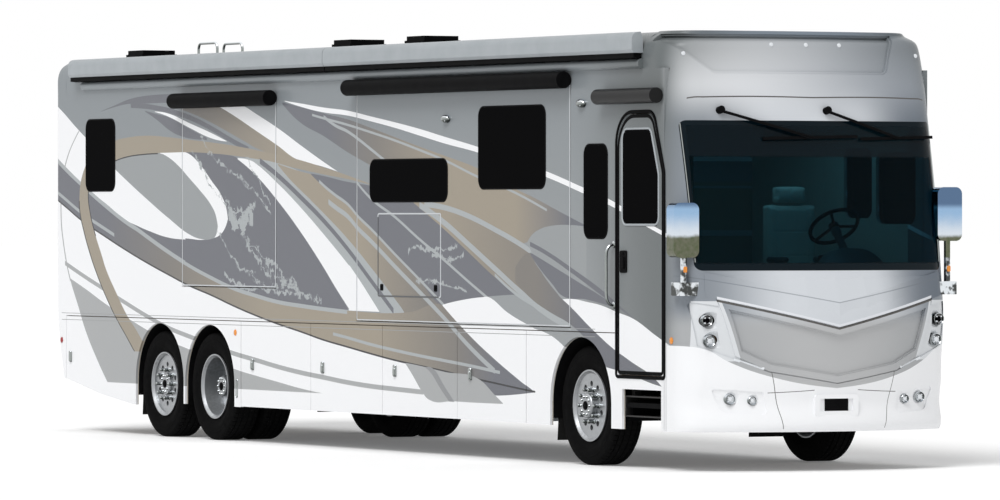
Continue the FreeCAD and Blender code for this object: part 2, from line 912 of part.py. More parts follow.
def make_topper(span, side):
    """The rolled awning over a slide room, with end caps and a flat back."""
    rear, front = span[:2]
    x0 = steer_x + rear - topper_overhang
    x1 = steer_x + front + topper_overhang
    y = half_width + topper_radius + topper_stand
    z = span[-1]
    roll = cylinder((x0, y, z), (1, 0, 0), topper_radius, x1 - x0)
    back = box(x0 + 30, x1 - 30, half_width, y, z - topper_radius / 2, z - seat_gap)
    roll = roll.fuse(back)
    return roll if side > 0 else mirrored(roll)


def make_entry_door():
    door = side_prism(door_outline(), -half_width, -inner_half)
    return door.cut(side_prism(door_window_outline(), -half_width - 1, -inner_half + 1))


def make_entry_door_glass():
    return side_prism(
        door_window_outline(), -half_width - 2.0, -half_width + window_recess, -seat_gap
    )


def skirt_panel(points, x_tools):
    panel = side_prism(points, skirt_inner, half_width)
    return cut_all(panel, x_tools)


def arch_tools(places):
    return [arch_cutter(x, arch_radius, skirt_inner - 1, half_width + 1) for x in places]


def make_skirts():
    """The fixed lower panels ahead of and behind the luggage doors, both sides."""
    top = belt_z - panel_gap
    front = steer_x + front_seam - panel_gap
    rear = steer_x + tail_seam + panel_gap
    ahead = (
        (steer_x + bay_seams[-1] + panel_gap, skirt_z, 8),
        (front, skirt_z, 0),
        (front, top, 0),
        (steer_x + bay_seams[-1] + panel_gap, top, 0),
    )
    behind = (
        (steer_x + bay_seams[0] - panel_gap, skirt_z, 8),
        (steer_x + bay_seams[0] - panel_gap, top, 0),
        (rear, top, 0),
        (rear, rear_valance_z, 0),
        (rear + 850, skirt_z + 50, 300),
        (tag_x - arch_radius - 60, skirt_z - 34, 0),
        (tag_x - arch_radius, skirt_z - 34, 0),
        (tag_x - arch_radius + 20, skirt_z, 0),
    )
    front_left = skirt_panel(ahead, arch_tools((steer_x,)))
    rear_left = skirt_panel(behind, arch_tools((drive_x, tag_x)))
    front_right = mirrored(front_left)
    front_right = front_right.cut(
        side_prism(door_outline(), -half_width - 1, -skirt_inner + 1, panel_gap)
    )
    well = box(
        steer_x + step_well_rear, steer_x + step_well_front,
        -half_width - 1, -skirt_inner + 1, 0, step_well_top,
    )
    front_right = front_right.cut(well)
    return [front_left, rear_left, front_right, mirrored(rear_left)]


def make_wheel_tubs():
    """Black liners over the wheels, one on each side of each axle group."""
    tubs = []
    for places in ((steer_x,), (drive_x, tag_x)):
        outer = None
        inner = None
        y0, y1 = arch_inner_y, skirt_inner
        for x in places:
            shell = arch_cutter(x, arch_radius + arch_liner, y0, y1)
            hollow = arch_cutter(x, arch_radius, y0 - 1, y1 + 1)
            outer = shell if outer is None else outer.fuse(shell)
            inner = hollow if inner is None else inner.fuse(hollow)
        tub = outer.cut(inner)
        keep = box(-nose_x, nose_x, y0 - 2, y1 + 2, skirt_z + 60, floor_bottom)
        tub = tub.common(keep)
        tubs += both_sides(tub)
    return tubs


def bay_door(index, side):
    """A luggage door between two seams, hinged at its front edge."""
    x0 = steer_x + bay_seams[index] + panel_gap / 2
    x1 = steer_x + bay_seams[index + 1] - panel_gap / 2
    door = box(x0, x1, skirt_inner, half_width, bay_door_bottom, belt_z - panel_gap)
    latch_x = x0 + 262.0
    latch = box(latch_x - 22, latch_x + 22, half_width, half_width + 14, 695, 795)
    door = door.fuse(latch.makeFillet(10, [latch.Edges[4], latch.Edges[5]]))
    return door if side > 0 else mirrored(door)


def make_roof():
    """The flat-topped roof with rounded edges and the gutter roll along each side."""
    x0 = steer_x + tail_seam + seat_gap
    x1 = steer_x + cap_top_seam - seat_gap

    def section(inset, low):
        half = half_width - inset
        corner = roof_corner - inset
        return (
            (half, low, 0),
            (half, roof_z - inset, corner),
            (-half, roof_z - inset, corner),
            (-half, low, 0),
        )

    shell = front_prism(section(0.0, roof_seam_z), x0, x1)
    shell = shell.cut(front_prism(section(wall, roof_seam_z - 1), x0 - 1, x1 + 1))
    gutter_x1 = x1 - 20
    for side in (-1, 1):
        start = (x0 + gutter_rear_gap, side * (half_width + gutter_stand), gutter_z)
        roll = cylinder(start, (1, 0, 0), gutter_radius, gutter_x1 - start[0])
        shell = shell.fuse(roll)
    return shell.removeSplitter()


def engine_door_outline():
    return (
        (-engine_door_half, engine_door_bottom, 60),
        (engine_door_half, engine_door_bottom, 60),
        (engine_door_half, engine_door_top, 60),
        (-engine_door_half, engine_door_top, 60),
    )


def make_rear_cap():
    shell = tail_shell(cap_wall)
    hole = front_prism(engine_door_outline(), tail_x - 50, tail_x + 400, panel_gap)
    return cut_all(shell.cut(hole), tail_lamp_tools(seat_gap))


def make_engine_door():
    """The tail's lift-up door, with hinge barrels along its top edge."""
    shell = tail_shell(cap_wall)
    door = shell.common(front_prism(engine_door_outline(), tail_x - 50, tail_x + 400))
    for y in (-320.0, 200.0):
        barrel = cylinder(
            (tail_x + engine_hinge_inset, y, engine_door_top), (0, 1, 0), panel_gap - seat_gap, 120
        )
        door = door.fuse(barrel)
    return door


def front_zone():
    return (nose_x - 1000.0, nose_x + 50.0)


def make_front_cap():
    x0, x1 = front_zone()
    sides = box(0, steer_x + front_seam, -half_width - 1, half_width + 1, 0, roof_seam_z)
    tools = [
        sides,
        recess([front_prism(crown_panel, x0, x1)], window_recess),
        recess([front_prism(crown_panel, x0, x1, -crown_step)], grille_recess),
        recess(both_sides(front_prism(bezel, x0, x1)), window_recess),
        front_prism(windshield_outline, x0, x1),
        front_prism(grille_outline(), x0, x1),
        front_prism(bumper_outline(), 0, x1),
    ]
    tools += front_lamp_tools(seat_gap) + lamp_bowls(head_lamps)
    return cut_all(front_shell(cap_wall).fuse(make_hood()), tools)


def recess(prisms, depth):
    """The room between the front's surface and the same surface drawn in by depth."""
    return Part.makeCompound(prisms).cut(front_form(depth))


def make_hood():
    """The beak over the grille: a ruled crease that rises to a V in the middle."""
    wires = []
    spans = 8
    top = windshield_outline[0][1] - window_corner / 2
    for i in range(spans + 1):
        y = hood_reach * (2 * i / spans - 1)
        share = abs(y) / hood_corner[0]
        low = hood_edge_z + share * (hood_corner[1] - hood_edge_z)
        crest = low + hood_height
        lift = hood_lift + share * (hood_side_lift - hood_lift)
        outer = [front_point(y, top, 0.0), front_point(y, crest, lift), front_point(y, low, 1.0)]
        inner = [front_point(y, z, -window_recess) for z in (low, crest, top)]
        wires.append(Part.makePolygon(outer + inner + outer[:1]))
    return Part.makeLoft(wires, True, True)


def make_windshield():
    x1 = front_zone()[1]
    glass = front_shell(window_recess)
    return glass.common(front_prism(windshield_outline, nose_x - 700, x1, -seat_gap))


def make_grille():
    """A recessed mesh panel in a raised frame that follows the hood's V."""
    x1 = front_zone()[1]
    x0 = front_zone()[0]
    frame = front_shell(cap_wall).common(front_prism(grille_outline(), x0, x1, -seat_gap))
    edge = front_prism(grille_outline(), x0, x1).cut(
        front_prism(grille_outline(), x0 - 1, x1 + 1, -shadow_gap)
    )
    inside = shadow_gap + grille_frame
    step = front_prism(grille_outline(), x0, x1, -inside)
    opening = front_prism(grille_outline(), x0, x1, -inside - window_recess)
    tools = [recess([edge, step], window_recess), recess([opening], grille_recess)]
    return cut_all(frame, tools)


def make_front_bumper():
    x1 = front_zone()[1]
    low = front_prism(bumper_outline(), 0, x1, -seat_gap)
    shell = front_shell(cap_wall).common(low)
    x0 = front_zone()[0]
    behind = box(0, steer_x + front_seam, -half_width - 1, half_width + 1, 0, roof_z)
    face_x = front_point(0.0, plate_frame[1], 0.0).x
    shell = shell.fuse(plate_block(plate_frame, face_x - cap_wall, face_x + plate_stand, 30.0))
    tools = [
        behind,
        recess(both_sides(front_prism(pocket, x0, x1)), window_recess),
        plate_block(plate_field, face_x, x1, 8.0),
    ]
    return cut_all(shell, tools + front_lamp_tools(seat_gap) + lamp_bowls(fog_lamps))


def plate_block(field, x0, x1, corner):
    """A rounded block across the middle, for the plate's frame and its field."""
    half, low, high = field
    corners = ((-half, low, corner), (half, low, corner), (half, high, corner), (-half, high, corner))
    return front_prism(corners, x0, x1)


def make_awnings():
    """Two patio awning cassettes along the right side and the roll over the door."""
    y0 = half_width
    y1 = half_width + awning_depth
    low = awning_low_z
    joint = awning_gap / 2
    pieces = []
    for x0, x1 in ((awning_rear, awning_joint - joint), (awning_joint + joint, awning_front)):
        profile = (
            (y0, low, 0),
            (y1 - 20, low, 0),
            (y1, low + 28, 15),
            (y1, roof_z - 12, 60),
            (y0 + 20, roof_z, 10),
            (y0, roof_z - 62, 0),
        )
        cassette = front_prism(profile, steer_x + x0, steer_x + x1)
        pieces.append(mirrored(cassette))
    z = door_roll_z
    radius = door_roll_radius
    x0 = steer_x + door_roll_span[0]
    x1 = steer_x + door_roll_span[1]
    roll = cylinder((x0, y0 + radius + 2, z), (1, 0, 0), radius, x1 - x0)
    roll = roll.fuse(box(x0 + 20, x1 - 20, y0, y0 + radius, z - 30, z + 40))
    pieces.append(mirrored(roll))
    return pieces


def make_mirror(side, low):
    """A chrome-backed mirror head on a stalk from a foot on the front corner."""
    outer = mirror_outer_y
    inner = outer - mirror_width
    profile = (
        (inner, low, 60),
        (outer, low, 60),
        (outer, low + mirror_height, 60),
        (inner, low + mirror_height, 60),
    )
    head = front_prism(profile, mirror_x - 60, mirror_x + 70)
    stalk_y = (inner + outer) / 2
    stalk = cylinder((mirror_x + 20, stalk_y, mirror_foot_z), (0, 0, 1), 28, low - mirror_foot_z + 20)
    foot = box(mirror_x - 90, mirror_x + 80, 1100, outer - 60, mirror_foot_z - 110, mirror_foot_z + 2)
    mirror = head.fuse(stalk).fuse(foot)
    mirror = mirror.cut(front_form(-seat_gap))
    mirror = max(mirror.Solids, key=lambda solid: solid.Volume)
    return mirror if side > 0 else mirrored(mirror)


def lamp_bowls(places):
    """Cones that widen from a lamp's rim to the front's surface."""
    bowls = []
    for y, z, radius in places:
        foot = front_point(y, z, -grille_recess)
        reach = 2 * grille_recess
        mouth = radius + seat_gap + bowl_reach * reach / grille_recess
        cone = Part.makeCone(radius + seat_gap, mouth, reach, foot, Vector(1, 0, 0))
        bowls += both_sides(cone)
    return bowls


def front_lamp_tools(grow):
    tools = []
    for y, z, radius in head_lamps + fog_lamps:
        for side in (-1, 1):
            tools.append(cylinder((nose_x - 700, side * y, z), (1, 0, 0), radius + grow, 800))
    return tools


def tail_lamp_tools(grow):
    outline_points = (
        (1000.0, 930.0, 30),
        (1130.0, 930.0, 30),
        (1130.0, 1500.0, 30),
        (1000.0, 1500.0, 30),
    )
    return both_sides(front_prism(outline_points, tail_x - 50, tail_x + 300, grow))


def make_lamps():
    """Head, turn and fog lamps in the front, and upright tail lamps."""
    front = front_form(window_recess)
    behind = front_form(cap_wall)
    lamps = [tool.common(front).cut(behind) for tool in front_lamp_tools(0.0)]
    rear = tail_shell(cap_wall)
    lamps += [tool.common(rear) for tool in tail_lamp_tools(0.0)]
    return lamps


def make_dashboard():
    """The dash with its instrument pod, the leg under it and the steering column."""
    top = (
        (nose_x - 820, 1000), (nose_x - 360, 1000), (nose_x - 230, 500),
        (nose_x - 230, -500), (nose_x - 360, -1000), (nose_x - 820, -1000),
    )
    corners = [Vector(x, y, dash_z) for x, y in top]
    dash = Part.Face(Part.makePolygon(corners + corners[:1])).extrude(Vector(0, 0, dash_height))
    pod = box(nose_x - 880, nose_x - 420, steering_y - pod_half, steering_y + pod_half, *pod_z)
    leg = box(nose_x - 560, nose_x - 440, -1000, 1000, floor_top, dash_z + 1)
    start = Vector(nose_x - steering_setback, steering_y, steering_z) - steering_axis * 22.3
    column = Part.makeCylinder(column_radius, 400, start, -steering_axis)
    return dash.fuse(pod).fuse(leg).fuse(column).removeSplitter()


def make_steering_wheel():
    """A rim, a hub and three spokes, raked on the column."""
    centre = Vector(nose_x - steering_setback, steering_y, steering_z)
    ring = Part.makeTorus(steering_radius, 17, centre, steering_axis)
    hub = Part.makeCylinder(45, 40, centre - steering_axis * 22, steering_axis)
    wheel = ring.fuse(hub)
    tilt = FreeCAD.Rotation(Vector(0, 0, 1), steering_axis)
    for turn in (90, 210, 330):
        arm = Part.makeCylinder(13, steering_radius - 10, Vector(0, 0, 0), Vector(1, 0, 0))
        arm.rotate(Vector(0, 0, 0), Vector(0, 0, 1), turn)
        arm.Placement = FreeCAD.Placement(centre, tilt).multiply(arm.Placement)
        wheel = wheel.fuse(arm)
    return wheel


def make_seat(x, y):
    low, high = seat_back_z
    left, right = y - seat_half, y + seat_half
    rear = x - 200
    base = box(rear, x + 200, y - 180, y + 180, floor_top, seat_pad_z)
    cushion = box(x - seat_half, x + seat_half, left, right, seat_pad_z, seat_pad_z + seat_pad_height)
    back = box(rear - seat_back_depth, rear, left, right, low, high)
    head = box(rear - seat_back_depth + 10, rear - 10, left + 100, right - 100, high, head_rest_top)
    cushion = cushion.makeFillet(40, cushion.Edges)
    back = back.makeFillet(40, back.Edges)
    seat = base.fuse(cushion).fuse(back)
    return seat.fuse(head).removeSplitter()


def make_seats():
    return [make_seat(steer_x + ahead, y) for ahead, y in seat_places]


def make_roof_vents():
    vents = []
    half_x, half_y = vent_half
    lid_z = roof_z + vent_base_height
    for ahead, y in vent_places:
        x = steer_x + ahead
        base = box(x - half_x, x + half_x, y - half_y, y + half_y, roof_z, lid_z)
        lid_x = half_x - vent_lid_inset
        lid_y = half_y - vent_lid_inset
        lid = box(x - lid_x, x + lid_x, y - lid_y, y + lid_y, lid_z, lid_z + vent_lid_height)
        vents.append(base.fuse(lid))
    return vents


def make_ladder():
    """A rear ladder whose side rails rise over the roof's edge in two hoops."""
    ladder = None
    x_out = tail_x - ladder_stand
    x_in = tail_x + hoop_reach
    low_bend = ladder_top - hoop_bend
    bow = hoop_bend * (1 - math.sqrt(0.5))
    for y in ladder_y:
        route = (
            Vector(x_out, y, ladder_bottom),
            Vector(x_out, y, low_bend),
            Vector(x_out + hoop_bend, y, ladder_top),
            Vector(x_in - hoop_bend, y, ladder_top),
            Vector(x_in, y, low_bend),
            Vector(x_in, y, roof_z + seat_gap),
        )
        rise = Vector(x_out + bow, y, ladder_top - bow)
        fall = Vector(x_in - bow, y, ladder_top - bow)
        edges = (
            Part.LineSegment(route[0], route[1]).toShape(),
            Part.Arc(route[1], rise, route[2]).toShape(),
            Part.LineSegment(route[2], route[3]).toShape(),
            Part.Arc(route[3], fall, route[4]).toShape(),
            Part.LineSegment(route[4], route[5]).toShape(),
        )
        path = Part.Wire(edges)
        circle = Part.Circle(route[0], Vector(0, 0, 1), ladder_tube)
        profile = Part.Wire(circle.toShape())
        rail = path.makePipeShell([profile], True, False)
        ladder = rail if ladder is None else ladder.fuse(rail)
        crown = tail_sections[-1][2]
        reach = ladder_stand + y * (y / 2 - ladder_tube) / crown - seat_gap
        for z in ladder_stands:
            ladder = ladder.fuse(cylinder((x_out, y, z), (1, 0, 0), 11, reach))
    for i in range(rung_count):
        z = ladder_bottom + first_rung + i * rung_pitch
        rung = cylinder((x_out, ladder_y[0], z), (0, 1, 0), rung_radius, ladder_y[1] - ladder_y[0])
        ladder = ladder.fuse(rung)
    return ladder


def make_entry_step():
    """The step that slides out of its frame below the door, on two runners."""
    x0 = steer_x + step_well_rear + 20
    x1 = steer_x + step_well_front - 20
    y0, y1 = -half_width + 30, -half_width + 340
    low = step_frame_z + step_frame_wall + seat_gap
    step = box(x0, x1, y0, y1, step_tread_z, step_tread_z + 40)
    for x in (x0, x1 - 40):
        step = step.fuse(box(x, x + 40, y0 + 40, y1, low, step_tread_z))
    return step.removeSplitter()


def make_step_frame():
    """The housing the step slides in, hung from the door's lowest inside tread."""
    x0 = steer_x + step_well_rear + 6
    x1 = steer_x + step_well_front - 6
    y0, y1 = -skirt_inner, -half_width + 700
    wall_in = step_frame_wall
    frame = box(x0, x1, y0, y1, step_frame_z, step_frame_top)
    frame = frame.cut(
        box(
            x0 + wall_in, x1 - wall_in, y0 - 1, y1 - wall_in,
            step_frame_z + wall_in, step_frame_top - wall_in,
        )
    )
    post_top = entry_door_bottom - step_plate
    post = box(x0, x0 + 60, y0 + 60, y0 + 120, step_frame_top, post_top)
    return frame.fuse(post).fuse(post.translated(Vector(x1 - x0 - 60, 0, 0)))


# Each wiper's pivot and the two ends of its blade, across the windshield


def front_point(y, z, stand):
    """A point on the front's surface, moved forward by stand."""
    setback, crown = section_at(front_sections, z)
    return Vector(nose_x - setback - crown + math.sqrt(crown ** 2 - y ** 2) + stand, y, z)


def bar_over_glass(start, stop, stand, thickness, height):
    """A flat bar that follows the glass's curve between two (y, z) places."""
    spans = 6
    wires = []
    for i in range(spans + 1):
        share = i / spans
        y = start[0] + share * (stop[0] - start[0])
        z = start[1] + share * (stop[1] - start[1])
        foot = front_point(y, z - height / 2, stand)
        top = front_point(y, z + height / 2, stand)
        ahead = Vector(thickness, 0, 0)
        wires.append(Part.makePolygon([foot, foot + ahead, top + ahead, top, foot]))
    return Part.makeLoft(wires, True, True)


def make_wipers():
    """Two top-hung wipers whose arms and blades follow the glass's curve."""
    wipers = []
    for y, blade_start, blade_end in wiper_spans:
        pivot = (y, wiper_pivot_z)
        blade_z = wiper_pivot_z - wiper_arm_drop - wiper_blade_rise / 2
        end = ((blade_start + blade_end) / 2, blade_z + wiper_blade_rise / 2)
        tips = ((blade_start, blade_z), (blade_end, blade_z + wiper_blade_rise))
        blade = bar_over_glass(tips[0], tips[1], 6.0, 22.0, 26.0)
        arm = bar_over_glass(pivot, end, 22.0, 18.0, 24.0)
        foot = front_point(y, wiper_pivot_z, -20.0)
        hub = Part.makeCylinder(32, 68, foot, Vector(1, 0, 0.2)).cut(front_form(-seat_gap))
        wipers.append(blade.fuse(arm).fuse(hub))
    return wipers


def nodes():
    """Every node's name and solids, in the order they are written."""
    made = {}
    made["chassis_frame"] = make_chassis_frame() + [make_step_frame()]
    made["basement"] = make_basement()
    made["floor"] = [make_floor()]
    made["engine"] = [make_engine()]
    made["axles"] = [make_axle_front()] + make_axles_rear()
    made["side_wall_right"] = [make_side_wall(-1)]
    made["side_wall_left"] = [make_side_wall(1)]
    made["skirts"] = make_skirts()
    made["wheel_tubs"] = make_wheel_tubs()
    made["roof"] = [make_roof()]
    made["rear_cap"] = [make_rear_cap()]
    made["front_cap"] = [make_front_cap()]
    made["front_bumper"] = [make_front_bumper()]
    made["grille"] = [make_grille()]
    made["windshield"] = [make_windshield()]
    made["window_glass"] = make_window_glass()
    made["awnings"] = make_awnings()
    made["lamps"] = make_lamps()
    made["wipers"] = make_wipers()
    made["mirrors"] = [make_mirror(side, low) for side, low in zip((-1, 1), mirror_bottoms)]
    made["dashboard"] = [make_dashboard()]
    made["steering_wheel"] = [make_steering_wheel()]
    made["seats"] = make_seats()
    made["roof_vents"] = make_roof_vents()
    made["ladder"] = [make_ladder()]
    made["entry_step"] = [make_entry_step()]
    made["entry_door"] = [make_entry_door()]
    made["entry_door_glass"] = [make_entry_door_glass()]
    made["slide_right_front"] = [make_slide(slide_front, -1, (window_small, window_big))]
    made["slide_right_front_glass"] = [glass_pane(window_small, -1), glass_pane(window_big, -1)]
    made["slide_right_front_topper"] = [make_topper(slide_front, -1)]
    made["slide_right_rear"] = [make_slide(slide_rear, -1, ())]
    made["slide_right_rear_topper"] = [make_topper(slide_rear, -1)]
    made["slide_left"] = [make_slide(slide_left_span, 1, (window_left_rear, window_left_mid))]
    made["slide_left_glass"] = [glass_pane(window_left_rear, 1), glass_pane(window_left_mid, 1)]
    made["slide_left_topper"] = [make_topper(slide_left_span, 1)]
    for i in range(len(bay_seams) - 1):
        made["bay_door_right_%d" % (i + 1)] = [bay_door(i, -1)]
        made["bay_door_left_%d" % (i + 1)] = [bay_door(i, 1)]
    made["engine_door"] = [make_engine_door()]
    knuckle = make_knuckle()
    made["knuckle_left"] = [knuckle]
    made["knuckle_right"] = [mirrored(knuckle)]
    wheels = {
        "front": (make_front_wheel(), [make_tyre(steer_x, front_wheel_y)]),
        "drive": (
            make_drive_wheel(),
            [make_tyre(drive_x, rear_wheel_y), make_tyre(drive_x, twin_inner_y)],
        ),
        "tag": (make_tag_wheel(), [make_tyre(tag_x, rear_wheel_y)]),
    }
    for name, (rim, tyres) in wheels.items():
        made["rim_%s_left" % name] = [rim]
        made["rim_%s_right" % name] = [mirrored(rim)]
        made["tyre_%s_left" % name] = tyres
        made["tyre_%s_right" % name] = [mirrored(tyre) for tyre in tyres]
    return made


def main():
    os.makedirs("parts", exist_ok=True)
    for name, solids in nodes().items():
        shape = solids[0] if len(solids) == 1 else Part.makeCompound(solids)
        state = "valid" if shape.isValid() else "INVALID"
        print(name, len(shape.Solids), state, round(shape.Volume / 1e9, 4))
        shape.exportStep("parts/%s.step" % name)


main()
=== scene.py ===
import json
import math

import bmesh
import bpy
from mathutils import Matrix, Vector
from mathutils.bvhtree import BVHTree


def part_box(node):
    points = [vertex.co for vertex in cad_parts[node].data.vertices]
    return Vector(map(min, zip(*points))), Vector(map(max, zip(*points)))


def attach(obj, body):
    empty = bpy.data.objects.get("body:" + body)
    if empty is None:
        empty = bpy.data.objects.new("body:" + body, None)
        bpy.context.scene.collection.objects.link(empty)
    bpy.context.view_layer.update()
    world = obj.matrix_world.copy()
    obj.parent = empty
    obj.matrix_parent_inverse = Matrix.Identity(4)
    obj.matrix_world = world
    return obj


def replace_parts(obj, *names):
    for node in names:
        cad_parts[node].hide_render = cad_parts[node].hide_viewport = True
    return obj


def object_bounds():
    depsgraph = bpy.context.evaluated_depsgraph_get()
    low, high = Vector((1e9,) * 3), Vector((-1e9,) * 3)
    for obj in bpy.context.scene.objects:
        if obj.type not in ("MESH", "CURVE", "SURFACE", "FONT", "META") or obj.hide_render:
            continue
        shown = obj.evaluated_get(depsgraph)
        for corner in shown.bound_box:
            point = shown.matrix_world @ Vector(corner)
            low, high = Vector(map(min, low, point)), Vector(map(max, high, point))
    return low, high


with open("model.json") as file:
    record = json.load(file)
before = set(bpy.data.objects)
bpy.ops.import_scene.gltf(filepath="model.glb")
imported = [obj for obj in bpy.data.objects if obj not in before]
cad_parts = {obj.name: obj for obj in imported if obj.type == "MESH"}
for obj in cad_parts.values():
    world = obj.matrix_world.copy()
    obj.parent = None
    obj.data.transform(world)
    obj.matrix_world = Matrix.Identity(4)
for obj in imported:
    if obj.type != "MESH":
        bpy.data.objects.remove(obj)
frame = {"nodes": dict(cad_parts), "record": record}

NODES = frame["nodes"]
RECORD = frame["record"]
SLOT_OF = {part["node"]: part["material_slot"] for part in RECORD["subparts"]}
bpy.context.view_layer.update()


def srgb(r, g, b):
    """A colour given as 0-255 screen values, as Blender's linear RGBA."""
    def linear(v):
        v /= 255
        return v / 12.92 if v <= 0.04045 else ((v + 0.055) / 1.055) ** 2.4
    return (linear(r), linear(g), linear(b), 1.0)


class Look:
    """A material and short calls for the nodes used in it."""

    def __init__(self, name, colour=(0.8, 0.8, 0.8, 1), rough=0.5, metal=0.0, **extra):
        self.mat = bpy.data.materials.new(name)
        self.mat.use_nodes = True
        self.nodes = self.mat.node_tree.nodes
        self.links = self.mat.node_tree.links
        self.bsdf = self.nodes["Principled BSDF"]
        self.out = self.nodes["Material Output"]
        self.bsdf.inputs["Base Color"].default_value = colour
        self.bsdf.inputs["Roughness"].default_value = rough
        self.bsdf.inputs["Metallic"].default_value = metal
        for key, value in extra.items():
            self.bsdf.inputs[key.replace("_", " ")].default_value = value
        self.coords = None

    def put(self, socket, value):
        if isinstance(value, bpy.types.NodeSocket):
            self.links.new(value, socket)
        else:
            socket.default_value = value

    def node(self, kind, **settings):
        made = self.nodes.new("ShaderNode" + kind)
        for key, value in settings.items():
            setattr(made, key, value)
        return made

    def coord(self, which="Object"):
        if self.coords is None:
            self.coords = self.node("TexCoord")
        return self.coords.outputs[which]

    def split(self, vector):
        made = self.node("SeparateXYZ")
        self.links.new(vector, made.inputs[0])
        return made.outputs[0], made.outputs[1], made.outputs[2]

    def math(self, op, a, b=0.0, c=None):
        made = self.node("Math", operation=op)
        self.put(made.inputs[0], a)
        self.put(made.inputs[1], b)
        if c is not None:
            self.put(made.inputs[2], c)
        return made.outputs[0]

    def times(self, first, *more):
        for other in more:
            first = self.math("MULTIPLY", first, other)
        return first

    def most(self, first, *more):
        for other in more:
            first = self.math("MAXIMUM", first, other)
        return first

    def above(self, a, b):
        return self.math("GREATER_THAN", a, b)

    def below(self, a, b):
        return self.math("LESS_THAN", a, b)

    def minus(self, a, b):
        return self.math("SUBTRACT", a, b)

    def scaled(self, value, by, plus):
        return self.math("MULTIPLY_ADD", value, by, plus)

    def gap(self, a, b):
        return self.math("ABSOLUTE", self.minus(a, b))

    def near(self, a, b, reach):
        """1 where a and b are less than reach apart."""
        return self.below(self.gap(a, b), reach)

    def span(self, value, a, b, c=0.0, d=1.0, smooth=True):
        """value mapped from a..b to c..d, held at the ends."""
        made = self.node("MapRange", interpolation_type="SMOOTHSTEP" if smooth else "LINEAR")
        for i, v in enumerate((value, a, b, c, d)):
            self.put(made.inputs[i], v)
        return made.outputs[0]

    def mix(self, fac, a, b):
        made = self.node("Mix", data_type="RGBA")
        self.put(made.inputs[0], fac)
        self.put(made.inputs[6], a)
        self.put(made.inputs[7], b)
        return made.outputs[2]

    def noise(self, scale, detail=3.0, rough=0.5, distortion=0.0, stretch=None):
        made = self.node("TexNoise")
        vector = self.coord()
        if stretch:
            place = self.node("Mapping")
            place.inputs["Scale"].default_value = stretch
            self.links.new(vector, place.inputs[0])
            vector = place.outputs[0]
        self.links.new(vector, made.inputs["Vector"])
        for key, value in (("Scale", scale), ("Detail", detail), ("Roughness", rough),
                           ("Distortion", distortion)):
            made.inputs[key].default_value = value
        return made.outputs["Fac"]

    def bump(self, height, strength=0.3, distance=0.001):
        made = self.node("Bump")
        made.inputs["Strength"].default_value = strength
        made.inputs["Distance"].default_value = distance
        self.links.new(height, made.inputs["Height"])
        self.links.new(made.outputs[0], self.bsdf.inputs["Normal"])

    def colour(self, value):
        self.put(self.bsdf.inputs["Base Color"], value)

    def rough(self, value):
        self.put(self.bsdf.inputs["Roughness"], value)


SILVER = srgb(148, 152, 154)
WHITE = srgb(240, 241, 243)
DARK = srgb(107, 109, 116)
BROWN = srgb(124, 120, 115)
TAN = srgb(154, 145, 130)
LINE = srgb(166, 171, 173)
GREY = srgb(165, 167, 168)
INK = srgb(52, 52, 54)
LOW_Z, HIGH_Z = 0.3, 3.9


def points_of(points):
    """(place, height) pairs from a flat list of numbers; a list of pairs stays as it is."""
    return points if isinstance(points[0], tuple) else list(zip(points[::2], points[1::2]))


def shift(points, by):
    """The points moved up by a height."""
    return [(a, b + by) for a, b in points_of(points)]


class Livery(Look):
    """Body paint whose stripes are smooth curves over the side's length and height."""

    def __init__(self, name):
        super().__init__(name, rough=0.34, Specular_IOR_Level=0.16, Coat_Weight=0.04, Coat_Roughness=0.06)
        self.x, self.y, self.z = self.split(self.coord())
        self.side = self.math("ABSOLUTE", self.y)
        self.paint = None

    def curve(self, points, along=None, low=LOW_Z, high=HIGH_Z):
        """The height of a smooth curve through the points, for each place along it."""
        points, along = points_of(points), along or self.x
        first, last = points[0][0], points[-1][0]
        made = self.node("FloatCurve")
        curve = made.mapping.curves[0]
        made.mapping.use_clip = False
        made.mapping.extend = "HORIZONTAL"
        spots = [((a - first) / (last - first), (b - low) / (high - low)) for a, b in points]
        curve.points[0].location = spots[0]
        curve.points[1].location = spots[-1]
        for spot in spots[1:-1]:
            curve.points.new(*spot)
        made.mapping.update()
        share = self.span(along, first, last, smooth=False)
        self.links.new(share, made.inputs["Value"])
        return self.scaled(made.outputs[0], high - low, low)

    def inside(self, a, b, value):
        return self.times(self.above(value, a), self.below(value, b))

    def over(self, mask, colour):
        self.paint = self.mix(mask, self.paint, colour) if self.paint else colour

    def band(self, top, bottom, colour, start=None, end=None):
        """A stripe between two curves of x; where they meet, it comes to a point."""
        top, bottom = points_of(top), points_of(bottom)
        start = max(top[0][0], bottom[0][0]) if start is None else start
        end = min(top[-1][0], bottom[-1][0]) if end is None else end
        mask = self.times(self.below(self.z, self.curve(top)), self.above(self.z, self.curve(bottom)))
        mask = self.times(mask, self.inside(start, end, self.x))
        self.over(mask, colour)

    def line(self, points, width, colour, start=None, end=None):
        """A line of one width that follows a curve."""
        points = points_of(points)
        gap = self.gap(self.z, self.curve(points))
        mask = self.below(gap, width / 2)
        start = points[0][0] if start is None else start
        end = points[-1][0] if end is None else end
        mask = self.times(mask, self.inside(start, end, self.x))
        self.over(mask, colour)

    def fade(self, stops):
        """A colour that changes along the side: (x, colour) pairs."""
        colour = stops[0][1]
        for (a, _), (b, after) in zip(stops, stops[1:]):
            colour = self.mix(self.span(self.x, a, b, smooth=False), colour, after)
        return colour


